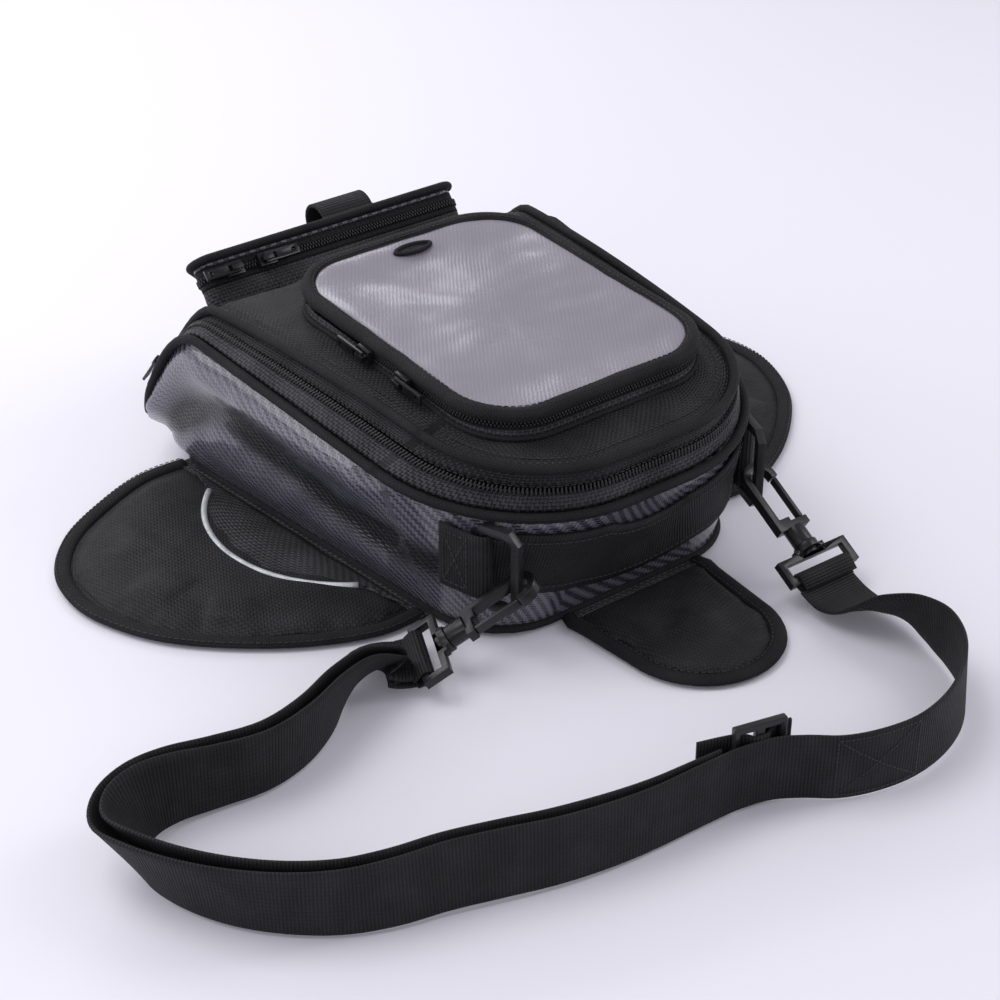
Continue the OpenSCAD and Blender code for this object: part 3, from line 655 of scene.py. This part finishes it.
def outline(o, d=0.0):
    """Rounded trapezoid grown by d, counter-clockwise from its front left corner."""
    front, back, low, high = o[0] + d, o[1] + d, o[2] - d, o[3] + d
    pts = [Vector(q) for q in ((-front, low), (front, low), (back, high), (-back, high))]
    radii = [o[4] + d, o[4] + d, o[5] + d, o[5] + d]
    arcs = [round_corner(pts[i - 1], pts[i], pts[(i + 1) % 4], max(radii[i], 3)) for i in range(4)]
    out = []
    for i in range(4):
        out += arcs[i]
        out += [mix(arcs[i][-1], arcs[(i + 1) % 4][0], j / SIDE) for j in range(1, SIDE)]
    return out


def zip_z(y):
    return 80 + 0.106 * (y + 168) - min(78, 100 * max(0, (y - 70) / 70) ** 1.87)


def lid_z(y):
    return 101 + 13 * (1 - ((y - 20) / 182) ** 2) - 62 * smooth((y - 76) / 76)


def bend(a, b, c, t):
    return a * (1 - t) * (1 - 2 * t) + b * 4 * t * (1 - t) + c * t * (2 * t - 1)


ZIP_RING = outline(ZIP)
LID_RING = outline(LID)


def wall_ring(t, d=0.0):
    shape = [bend(a, b, c, t) for a, b, c in zip(BASE, MIDDLE, ZIP)]
    flat = outline(shape, d)
    return [Vector((q.x, q.y, mix(WALL_Z0, zip_z(top.y) - 2.5, t))) for q, top in zip(flat, ZIP_RING)]


def band_ring(t, d=0.0):
    flat = outline([mix(a, b, t) for a, b in zip(ZIP, LID)], d)
    return [Vector((q.x, q.y, mix(zip_z(a.y), lid_z(b.y), t))) for q, a, b in zip(flat, ZIP_RING, LID_RING)]


def lid_ring(inset, lift):
    return [Vector((q.x, q.y, lid_z(q.y) + lift - 2 * smooth((q.y - 75) / 25) * min(1, inset / 20)))
            for q in outline(LID, -inset)]


def outward(q, amount, centre=(0, 0)):
    flat = Vector((q.x - centre[0], q.y - centre[1], 0)).normalized()
    return q + flat * amount


# Station numbers where the main zip starts and ends, at the middles of the back corners
ZIP_FIRST = 3 * GROUP + CORNER // 2
ZIP_LAST = 2 * GROUP + CORNER // 2
ZIP_STATIONS = list(range(ZIP_FIRST, RING)) + list(range(0, ZIP_LAST + 1))
BACK_STATIONS = list(range(ZIP_LAST, ZIP_FIRST + 1))


# ---------------- side wall
SINK = 0.9


def sag(q, t):
    """How far the wall's soft sheet stands out or sinks at a point: one long fold and small creases."""
    side = smooth((abs(q.x) - 60) / 35)
    fold = 0.5 + 0.06 * math.sin(q.y / 48)
    dip = -3.4 * math.exp(-((t - fold) / 0.15) ** 2) * side
    swell = 5.6 * math.exp(-((t - 0.8) / 0.14) ** 2) + 1.8 * math.exp(-((t - 0.2) / 0.13) ** 2) * side
    front = smooth((-q.y - 110) / 30) * -1.4 * math.exp(-((t - 0.45) / 0.2) ** 2)
    crease = 1.6 * ripple(q, 0.028, 3) + 1.2 * ripple(q, 0.07, 11)
    stand = max(-SINK, dip + swell + front + crease + 1.6 * smooth(t * 3))
    free = smooth((q.y + 100) / 45)
    return mix(min(stand, 0.2), stand, free) * smooth(t * 9) * smooth((1 - t) * 9)


def fold_shade(q, t):
    """How deep in the long fold a point of the wall lies, 0 to 1; used as painted shade that darkens the carbon there.
    """
    side = smooth((abs(q.x) - 60) / 35)
    deep = math.exp(-((t - 0.5 - 0.06 * math.sin(q.y / 48)) / 0.13) ** 2) * (0.85 + 0.6 * ripple(q, 0.025, 21))
    return max(0, min(1, side * deep))


rows, shade = [], []
for i in range(31):
    t = i / 30
    rows.append([outward(q, sag(q, t)) for q in wall_ring(t, -0.2)])
    shade += [fold_shade(q, t) for q in rows[-1]]
wall = grid("carbon_wall", rows, "carbon", "bag_body", ["side_wall"], thickness=1.6)
# The fold attribute carries this painted shade to the carbon material
wall.data.attributes.new("fold", "FLOAT", "POINT").data.foreach_set("value", shade)


low_pipe = [Vector((q.x, q.y, zip_z(e.y) - 2.4)) for q, e in zip(outline(ZIP, 2.6), ZIP_RING)]
piping("lower_piping", low_pipe, 2.7, 12, "bag_body", ["body_piping"])
top_pipe = [Vector((q.x, q.y, lid_z(e.y) + 1.4)) for q, e in zip(outline(LID, 2.6), LID_RING)]
piping("upper_piping", top_pipe, 2.7, 12, "lid", ["lid_piping"])
piping("base_piping", at_height(outline(BASE, 0.6), 3.4), 2.2, 10, "bag_body")


# ---------------- zip band
def band_rows(low, high, count, d):
    out = []
    for i in range(count + 1):
        t = mix(low, high, i / count)
        out.append([outward(q, 0.5 * ripple(q, 0.06, 5)) for q in band_ring(t, d)])
    return out


grid("lower_band", band_rows(0.02, 0.45, 4, 0.4), "mesh_cloth", "bag_body", ["body_zip_tape"],
     thickness=1.2)


def teeth(name, body, t, shift):
    ring = band_ring(t, 1.3)
    low, high = band_ring(t - 0.05, 1.3), band_ring(t + 0.05, 1.3)
    ups = [(high[k] - low[k]).normalized() for k in ZIP_STATIONS]
    path = [ring[k] for k in ZIP_STATIONS]
    places = [(p, ups[i], d.cross(ups[i])) for p, d, i in walk(path, 2.2, 1.1 + shift)]
    studs(name, places, (3.0, 1.35, 2.0), "coil", body)


teeth("main_zip_teeth_lower", "bag_body", 0.475, 0)
teeth("main_zip_teeth_upper", "lid", 0.545, 1.1)
for t, body, name in ((0.4, "bag_body", "band_stitch_lower"), (0.62, "lid", "band_stitch_upper")):
    ring = band_ring(t, 0.9)
    stitches(name, [ring[k] for k in ZIP_STATIONS], lambda p: Vector((p.x, p.y + 10, 20)), body)

# Fabric over the lid's fold line at the back
BACK_LEVELS = (0.3, 0.38, 0.44, 0.48, 0.52, 0.56, 0.62, 0.7)
back_out, back_in = [[[band_ring(t, d)[k] for k in BACK_STATIONS] for t in BACK_LEVELS] for d in (0.9, -0.2)]
middle = len(BACK_STATIONS) // 2
fold_cloth("back_hinge_cloth", back_out, back_in, "lid_cloth",
           ("bag_body", "lid", back_out[1][middle] * MM, back_out[-2][middle] * MM), ["hinge_seam"])

# ---------------- lid
rows = band_rows(0.6, 1.0, 4, 0.3)
for inset, lift in ((2, 0.8), (5, 1.7), (9, 2.4), (14, 2.9), *((d, 3) for d in (20, 27, 35, 44, 53, 62, 70, 77))):
    soft = smooth(inset / 10)
    rows.append([q + Vector((0, 0, soft * (1.2 * ripple(q, 0.03, 9) + 0.5 * ripple(q, 0.09, 2)) - 0.4))
                 for q in lid_ring(inset, lift)])
grid("lid_shell", rows, "lid_cloth", "lid", ["lid_panel", "lid_zip_tape"], thickness=1.6, cap=True)
stitches("lid_edge_stitch", [q + Vector((0, 0, 0.3)) for q in lid_ring(6, 2.2)], (0, 0, 1), "lid")

# ---------------- map pocket
POCKET_MIDDLE = (0, -36)


def rim_height(y):
    return 123.6 + 0.052 * (y - POCKET[2])


def pocket_ring(inset, drop, wave=0.0):
    out = []
    for q in outline(POCKET, -inset):
        p = Vector((q.x, q.y, rim_height(q.y) - drop))
        out.append(outward(p, wave * ripple(p, 0.05, 21), POCKET_MIDDLE) if wave else p)
    return out


def foot_ring(inset):
    return [Vector((q.x, q.y, min(lid_z(q.y) + 3, rim_height(q.y) - 10))) for q in outline(POCKET, -inset)]


def blend_rings(a, b, count, bulge):
    return [[outward(p.lerp(q, i / count), bulge * math.sin(math.pi * i / count), POCKET_MIDDLE)
             for p, q in zip(a, b)] for i in range(count + 1)]


grid("pocket_wall", blend_rings(foot_ring(1.8), pocket_ring(2.6, 9), 4, 0.8), "mesh_cloth", "lid",
     ["pocket_gusset", "pocket_zip_tape"], thickness=1.4)
piping("pocket_foot_binding", [p + Vector((0, 0, 0.7)) for p in foot_ring(1)], 1.5, 8, "lid")
rim_section = ((0.9, 5.4), (0.1, 4), (0, 2), (0.7, 0.2), (2.3, -1), (4.4, -1.3), (6.4, -0.8), (7.8, 0.3), (8.4, 1.6),
               (7.4, 2.6), (4.5, 3.2), (2.6, 4.4), (2.2, 5.4))
rows = [pocket_ring(a, b, 1.6 if a > 6 else 0.5) for a, b in rim_section]
grid("pocket_rim_binding", rows + [rows[0]], "binding", "pocket_lid", ["pocket_rim"])
stitches("rim_stitch", pocket_ring(6.2, -1.0), (0, 0, 1), "pocket_lid")
rows = []
for inset in (7.6, 9, 11, 14, 18, 23, 29, 36, 43, 50, 57, 64, 71, 77):
    deep = smooth((inset - 8) / 26)
    firm = smooth(inset / 16)
    rows.append([p + Vector((0, 0, -2.2 * deep + (1.5 * ripple(p, 0.022, 4) + 0.5 * ripple(p, 0.07, 8)) * firm))
                 for p in pocket_ring(inset, 0.6)])
grid("pocket_film", rows, "film", "pocket_lid", ["pocket_window"], thickness=0.5, cap=True)

# The pocket's zip runs from the left side round the front to the right side
POCKET_STATIONS = list(range(RING - SIDE // 2 - 2, RING)) + list(range(0, GROUP + CORNER + 4))


def rim_teeth(name, ring, stations, lift, size, body, shift):
    """Zip teeth every 2 mm along part of a ring, with their long way along lift."""
    path = [ring[k] for k in stations]
    places = [(p + d * shift, lift, d.cross(lift)) for p, d in resample(path, 2.0)]
    studs(name, places, size, "coil", body)


for name, drop, body, shift in (("pocket_teeth_lower", 7.9, "lid", 0), ("pocket_teeth_upper", 6.3, "pocket_lid", 1.0)):
    rim_teeth(name, pocket_ring(1.5, drop), POCKET_STATIONS, Vector((0, 0, 1)), (2.1, 1.25, 1.7), body, shift)
for name, low, high, body in (("pocket_tape_lower", 12.5, 8.3, "lid"), ("pocket_tape_upper", 6.2, 4.6, "pocket_lid")):
    rows = [[pocket_ring(1.9, drop)[k] for k in POCKET_STATIONS] for drop in (low, mix(low, high, 0.5), high)]
    grid(name, rows, "tape", body, closed=False, thickness=0.7)
# Fabric that joins the rim to the lid along the back, over the pocket's fold
back_ks = list(range(2 * GROUP + 4, 3 * GROUP + CORNER - 4))
rows = [[pocket_ring(1.6, drop)[k] for k in back_ks] for drop in (10, 8.4, 7, 5.6, 4.6)]
grid("pocket_back_cloth", rows, "mesh_cloth", "lid", closed=False, thickness=0.8)


# Cable port in the film: a bound eye-shaped slit
PORT_X, PORT_Y = 1, 44


def eye_path(half, tall, lift, count=28):
    out = []
    for i in range(count):
        a = 2 * math.pi * i / count
        x, y = half * math.cos(a), tall * math.sin(a) * abs(math.sin(a)) ** 0.3
        out.append(Vector((PORT_X + x, PORT_Y + y, rim_height(PORT_Y) + lift)))
    return out


piping("cable_port_binding", eye_path(12, 4.6, -0.4), 1.3, 8, "pocket_lid")
port = [eye_path(10.8 * s, 3.6 * s, -0.5) for s in (1, 0.6, 0.2)]
grid("cable_port_flap", port, "tape", "pocket_lid", thickness=0.5, cap=True)


# ---------------- pouch on the back slope
TILT = math.radians(-42)


POUCH_Y, POUCH_Z = 106, 91.5
POUCH_MIDDLE = 28


def in_pouch(x, y, h):
    """A point given along the slope and standing off it."""
    c, s = math.cos(TILT), math.sin(TILT)
    return Vector((x, POUCH_Y + y * c - h * s, POUCH_Z + y * s + h * c))


def pouch_ring(d, h, soft=0.0):
    out = []
    for q in outline(POUCH, d):
        p = in_pouch(q.x, q.y, h)
        if soft:
            n = Vector((q.x, q.y - POUCH_MIDDLE, 0)).normalized() * soft * (0.4 + ripple(p, 0.05, 13))
            p = in_pouch(q.x + n.x, q.y + n.y, h)
        out.append(p)
    return out


rows = [pouch_ring(d, h, soft) for d, h, soft in ((-0.4, 0.3, 0), (0.4, 3, 1), (0.9, 8, 2), (0.8, 13, 2), (0.2, 17, 1),
                                                  (0, 19, 0))]
grid("pouch_wall", rows, "mesh_cloth", "lid", ["pouch_shell"], thickness=1.6)
rows = [pouch_ring(0.5, h) for h in (18.6, 20.5, 22.6)]
grid("pouch_tape_lower", rows, "tape", "lid", ["pouch_zip_tape"], thickness=0.9)
rows = [pouch_ring(0.5, h) for h in (25.6, 28, 31)]
grid("pouch_tape_upper", rows, "tape", "pouch_lid", thickness=0.9)
pouch_ks = list(range(3 * GROUP, RING)) + list(range(0, 2 * GROUP - 2))
lift = in_pouch(0, 0, 1) - in_pouch(0, 0, 0)
for name, h, body, shift in (("pouch_teeth_lower", 23.3, "lid", 0), ("pouch_teeth_upper", 25.2, "pouch_lid", 1.0)):
    rim_teeth(name, pouch_ring(1.0, h), pouch_ks, lift, (2.2, 1.25, 1.8), body, shift)
rows = [pouch_ring(0, 30.5), pouch_ring(0, 33), pouch_ring(-0.4, 35.4)]
for inset, rise in ((2, 36.8), (5, 38), (9, 39), (14, 39.8), (20, 40.2), (25, 40.4), (28, 40.4)):
    rows.append([p + Vector((0, 0, 0.9 * ripple(p, 0.04, 6))) for p in pouch_ring(-inset, rise)])
cover = grid("pouch_cover_panel", rows, "carbon", "pouch_lid", ["pouch_cover"], thickness=1.4, cap=True)
cover_uv = cover.data.uv_layers[0].data
for loop in cover.data.loops:
    at = cover.data.vertices[loop.vertex_index].co
    cover_uv[loop.index].uv = (at.x, at.y / math.cos(TILT))
piping("pouch_cover_piping", pouch_ring(2.2, 35), 2.6, 12, "pouch_lid", ["pouch_piping"])
piping("pouch_foot_piping", pouch_ring(0.9, 1.2), 1.7, 8, "lid")

# Webbing carry loop standing on the pouch's upper edge
LOOP_R = 10.8
path = [(20, 5.5, 38.4), (20, 6.6, 39.4)]
for a in (math.radians(d) for d in range(0, 181, 12)):
    path.append((20, 18 - LOOP_R * math.cos(a), 39.6 + LOOP_R * 1.12 * math.sin(a)))
path += [(20, 29.6, 39.6), (20, 31, 39)]
loop_path = [in_pouch(*p) for p in path]
sweep("carry_loop", loop_path, strap_section(36, 2.2), "webbing", "pouch_lid", ["handle_loop"],
      ups=[(1, 0, 0)] * len(loop_path))


# ---------------- webbing on the front wall
def wall_point(k, z, d):
    top = zip_z(ZIP_RING[k].y) - 2.5
    t = max(0.0, min(1.0, (z - WALL_Z0) / (top - WALL_Z0)))
    p = wall_ring(round(t, 2), d)[k]
    return outward(Vector((p.x, p.y, z)), max(sag(p, t), -1.0))


FRONT_KS = list(range(CORNER // 2 - 1, GROUP + CORNER // 2 + 2))
rows = []
for j in range(9):
    row = []
    for i, k in enumerate(FRONT_KS):
        f = i / (len(FRONT_KS) - 1)
        centre = 52 - 13 * math.sin(math.pi * f) - 4 * f
        row.append(wall_point(k, centre + WEB_W * (j / 8 - 0.5), 3.2))
    rows.append(row)
grid("front_webbing", rows, "webbing", "bag_body", ["front_band"], closed=False, thickness=1.9)
for f, name in ((0.12, "band_stitch_low"), (0.88, "band_stitch_high")):
    line = [a.lerp(b, f) + Vector((0, -0.35, 0)) for a, b in zip(rows[0], rows[-1])]
    stitches(name, [outward(p, 0.4) for p in line], lambda p: Vector((p.x, p.y, 0)), "bag_body")

# Plan of the left ring's tab: the ring's pin, and where the tab is sewn to the wall
PIVOT = Vector((-90, -140.5))
ROOT = Vector((-104.5, -107))
TAB_ALONG = (PIVOT - ROOT).normalized()
TAB_OUT = Vector((TAB_ALONG.y, -TAB_ALONG.x))
PIN_R = 4.1


def ring_tab(side):
    s = -1 if side == "left" else 1
    along, out = TAB_ALONG, TAB_OUT
    plan = [ROOT + along * 10 - out * 2.2, ROOT + along * 12 + out * 0.8, PIVOT + out * PIN_R - along * 4]
    for i in range(13):
        a = math.atan2(out.y, out.x) + math.radians(230 * i / 12)
        plan.append(PIVOT + Vector((math.cos(a), math.sin(a))) * PIN_R)
    plan.append(PIVOT - out * 3.6 - along * 9)
    path = [Vector((-s * p.x, p.y, 52)) for p in plan]
    sweep("ring_webbing_" + side, path, strap_section(WEB_W, 1.8), "webbing", "bag_body",
          ["ring_tab_" + side])


def tab_stitches(side):
    """Box and cross sewn through the flat part of a ring's tab."""
    s = -1 if side == "left" else 1

    def at(a, z):
        p = ROOT + TAB_ALONG * a + TAB_OUT * (mix(0.8, PIN_R, (a - 12) / 20.5) + 1.1)
        return Vector((-s * p.x, p.y, z))

    near, far, low, high = 14, 29, 37, 67
    box = [at(near, low), at(far, low), at(far, high), at(near, high), at(near, low)]
    for name, corners in (("box", box), ("cross_a", [box[0], box[2]]), ("cross_b", [box[1], box[3]])):
        path = [a.lerp(b, i / 4) for a, b in zip(corners, corners[1:]) for i in range(5)]
        path = [p for i, p in enumerate(path) if i == 0 or (p - path[i - 1]).length > 0.01]
        stitches("tab_" + name + "_stitch_" + side, path, (-s * TAB_OUT.x, TAB_OUT.y, 0), "bag_body")


for side in ("left", "right"):
    ring_tab(side)
    tab_stitches(side)

# ---------------- wings and flap
LOBE = [(0, 0.02), (0.01, 0.22), (0.09, 0.46), (0.21, 0.68), (0.36, 0.87), (0.51, 0.965), (0.64, 0.985), (0.78, 0.92),
        (0.9, 0.75), (0.98, 0.5), (1.03, 0.24), (1.02, 0.02)]
WING_A, WING_B = Vector((-97, -92)), Vector((-116, 104))
WING_ALONG = WING_B - WING_A
WING_OUT = Vector((-WING_ALONG.y, WING_ALONG.x)).normalized()
WING_REACH = 126
RIGHT_SHIFT = -10
# How far in from the edge the binding's middle and its stitches run, and their heights
BINDING_IN, BINDING_Z = 4.4, 2.6
STITCH_IN, STITCH_Z = 7.6, 4.7


def wing_point(q):
    return WING_A + WING_ALONG * q[0] + WING_OUT * WING_REACH * q[1]


def inset_path(path, amount):
    """Move an open or closed plan path sideways, to its left as it runs."""
    out = []
    n = len(path)
    for i, p in enumerate(path):
        d = (path[min(i + 1, n - 1)] - path[max(i - 1, 0)]).normalized()
        out.append(p + Vector((-d.y, d.x)) * amount)
    return out


VOXEL = 0.003
MOST_MOVE = 0.002


def inflate(obj, seed):
    """Puff a closed pad with a short cloth simulation, apply it, and cap how far its points move."""
    bpy.context.view_layer.objects.active = obj
    remesh = modifier(obj, "REMESH", mode="VOXEL", voxel_size=VOXEL)
    bpy.ops.object.modifier_apply(modifier=remesh.name)
    start = [v.co.copy() for v in obj.data.vertices]
    cloth = obj.modifiers.new("cloth", "CLOTH")
    cloth.settings.use_pressure = True
    cloth.settings.uniform_pressure_force = 4
    cloth.settings.effector_weights.gravity = 0
    cloth.settings.quality = 4
    scene = bpy.context.scene
    for step in range(1, 21):
        scene.frame_set(step)
    done = obj.evaluated_get(bpy.context.evaluated_depsgraph_get()).to_mesh()
    moved = [v.co.copy() for v in done.vertices]
    obj.modifiers.remove(cloth)
    scene.frame_set(1)
    for v, a, b in zip(obj.data.vertices, start, moved):
        step = b - a
        if step.length > MOST_MOVE:
            step = step.normalized() * MOST_MOVE
        v.co = a + step
    for v in obj.data.vertices:
        v.co.z += 0.0009 * ripple(v.co / MM, 0.03, seed) * (1 if v.co.z > 0.003 else 0)
        v.co.z = max(v.co.z, 0.0005)
    obj.data.polygons.foreach_set("use_smooth", [True] * len(obj.data.polygons))
    modifier(obj, "SUBSURF", levels=1, render_levels=1)


def pad(name, edge, centre, height, body, stands_for, bumps, seed):
    """A quilted pad: a closed form from its plan edge, crowned, with raised discs where magnets are sewn in."""
    fractions = (1, 0.96, 0.88, 0.76, 0.6, 0.42, 0.22, 0.06)

    def top(p, f):
        z = 2.4 + height * (1 - f ** 4)
        for spot in bumps:
            gap = (Vector((p.x, p.y)) - spot).length
            z += 2.2 * smooth((15 - gap) / 4)
        return z

    def shrunk(f, z):
        return at_height([centre.lerp(p, f) for p in edge], z)

    rows = [shrunk(0.05, 0.6), shrunk(0.5, 0.6), shrunk(0.97, 0.6), at_height(edge, 1.5)]
    rows += [[Vector((*centre.lerp(p, f), top(centre.lerp(p, f), f))) for p in edge] for f in fractions]
    obj = grid(name, rows, "pad_cloth", body, stands_for, cap=True)
    mesh = obj.data
    bm = bmesh.new()
    bm.from_mesh(mesh)
    bm.verts.ensure_lookup_table()
    bm.faces.new([bm.verts[k] for k in reversed(range(len(edge)))])
    bmesh.ops.recalc_face_normals(bm, faces=bm.faces)
    bm.to_mesh(mesh)
    bm.free()
    inflate(obj, seed)
    # Backing sheet that the pad's edge is sewn to, out to the middle of the binding
    sheet = [shrunk(f, 2.1) for f in (1, 0.8, 0.55, 0.3, 0.1)]
    grid(name + "_backing", sheet, "pad_cloth", body, thickness=1.2, cap=True, offset=0)


BINDING = [(4.6 * math.cos(a), 2.2 * math.sin(a)) for a in [2 * math.pi * i / 14 for i in range(14)]]
ARC_CENTRE = wing_point((0.5, -0.3))
ARC_R = 84
WING_TURN = math.atan2(WING_ALONG.y, WING_ALONG.x) - math.pi / 2
FOLD_STEPS = (0, 0.15, 0.3, 0.4, 0.5, 0.6, 0.7, 0.85, 1)


def make_wing(side):
    right = side == "right"

    def flip(p):
        return Vector((-p.x, p.y + RIGHT_SHIFT)) if right else p

    body = side + "_wing"
    pre = "wing_" + side
    edge = [wing_point(q) for q in curve_through(LOBE, 7)]
    inner = [flip(p) for p in inset_path(edge, BINDING_IN)]
    root = [flip(wing_point((1.0 - i / 10, 0.015))) for i in range(1, 10)]
    loop = inner + root
    spots = [flip(wing_point(q)) for q in ((0.3, 0.62), (0.52, 0.72), (0.74, 0.62))]
    centre = flip(wing_point((0.5, 0.45)))
    if right:
        loop.reverse()
    pad(pre + "_pad", loop, centre, 3.4, body, [pre, pre + "_magnets"], spots, 3.0 if right else 1.0)
    sweep(pre + "_edge_binding", at_height(inner, BINDING_Z), BINDING, "binding", body, [pre + "_binding"])
    row = [flip(p) for p in inset_path(edge, STITCH_IN)]
    stitches(pre + "_edge_stitch", at_height(row, STITCH_Z), (0, 0, 1), body)
    # Pocket panel from the reflective arc in to the root
    steps = 36
    arc, foot = [], []
    for i in range(steps + 1):
        a = math.radians(mix(128, 232, i / steps)) + WING_TURN
        arc.append(ARC_CENTRE + Vector((math.cos(a), math.sin(a))) * ARC_R)
        foot.append(wing_point((mix(0.98, 0.02, i / steps), 0.03)))
    rows = []
    for j in range(11):
        f = j / 10
        row = []
        for i, (p, q) in enumerate(zip(arc, foot)):
            at = flip(p.lerp(q, f))
            swell = 3.6 * math.sin(math.pi * f) * math.sin(math.pi * i / steps)
            z = 6.2 - 2.4 * f * f + swell + 0.9 * ripple((at.x, at.y, 0), 0.05, 17)
            row.append(Vector((at.x, at.y, z if j else 5.6)))
        rows.append(row)
    panel = grid(pre + "_pocket_panel", rows, "mesh_cloth", body, [pre + "_pocket"], closed=False,
                 thickness=1.2)
    if right:
        panel.data.flip_normals()
    steps_in = [WING_A.lerp(WING_B, (i - 1) / 20) for i in range(23)]
    fold_strip(pre + "_fold", [flip(p - WING_OUT * 7) for p in steps_in], [flip(p + WING_OUT * 6) for p in steps_in],
               body)
    line = at_height([flip(p) for p in arc], 6.6)
    sweep(pre + "_reflective", line, circle(1.9, 10), "reflective", body, [pre + "_piping"])


def fold_strip(name, inner, outer, body):
    """Fabric under a fold line, from the bag's base to a wing or the flap, fixed in place across the joint."""
    top, under = [[at_height([p.lerp(q, f) for p, q in zip(inner, outer)], z) for f in FOLD_STEPS] for z in (3.3, 1.9)]
    middle = len(inner) // 2
    fold_cloth(name, top, under, "mesh_cloth", ("bag_body", body, top[1][middle] * MM, top[-2][middle] * MM))


make_wing("left")
make_wing("right")

FLAP_X, FLAP_ROOT, FLAP_L, FLAP_W = 5, -147, 100, 100


def flap_edge(inset):
    r = FLAP_W / 2 - 4 - inset
    cy = FLAP_ROOT - FLAP_L + FLAP_W / 2 - 4
    half = FLAP_W / 2 - inset
    pts = [Vector((FLAP_X - half + 1.5, FLAP_ROOT - 1)), Vector((FLAP_X - half - 1, FLAP_ROOT - 8))]
    for i in range(1, 6):
        pts.append(Vector((mix(FLAP_X - half, FLAP_X - r, i / 6), mix(FLAP_ROOT - 8, cy, i / 6))))
    for i in range(25):
        a = math.pi + math.pi * i / 24
        pts.append(Vector((FLAP_X + r * math.cos(a), cy + r * math.sin(a))))
    for i in range(1, 6):
        pts.append(Vector((mix(FLAP_X + r, FLAP_X + half, i / 6), mix(cy, FLAP_ROOT - 8, i / 6))))
    pts += [Vector((FLAP_X + half + 1, FLAP_ROOT - 8)), Vector((FLAP_X + half - 1.5, FLAP_ROOT - 1))]
    return pts


edge = flap_edge(BINDING_IN)
pad("flap_pad", edge, Vector((FLAP_X, FLAP_ROOT - 46)), 3.2, "flap", ["front_flap", "flap_magnet"],
    [Vector((FLAP_X, FLAP_ROOT - 56))], 6.0)
sweep("flap_edge_binding", at_height(edge, BINDING_Z), BINDING, "binding", "flap", ["flap_binding"])
inner, outer = [[Vector((FLAP_X + FLAP_W * (i / 12 - 0.5) * 0.96, FLAP_ROOT + d)) for i in range(13)] for d in (6, -6)]
fold_strip("flap_fold_cloth", inner, outer, "flap")
stitches("flap_edge_stitch", at_height(flap_edge(STITCH_IN), STITCH_Z), (0, 0, 1), "flap")

# ---------------- CAD nodes that stay in view
KEPT = {"base_panel": "base_cloth", "base_board": "board", "wall_foam": "lining"}
for node, look in KEPT.items():
    obj = bpy.data.objects[node]
    obj.data.materials.clear()
    obj.data.materials.append(LOOKS[look])
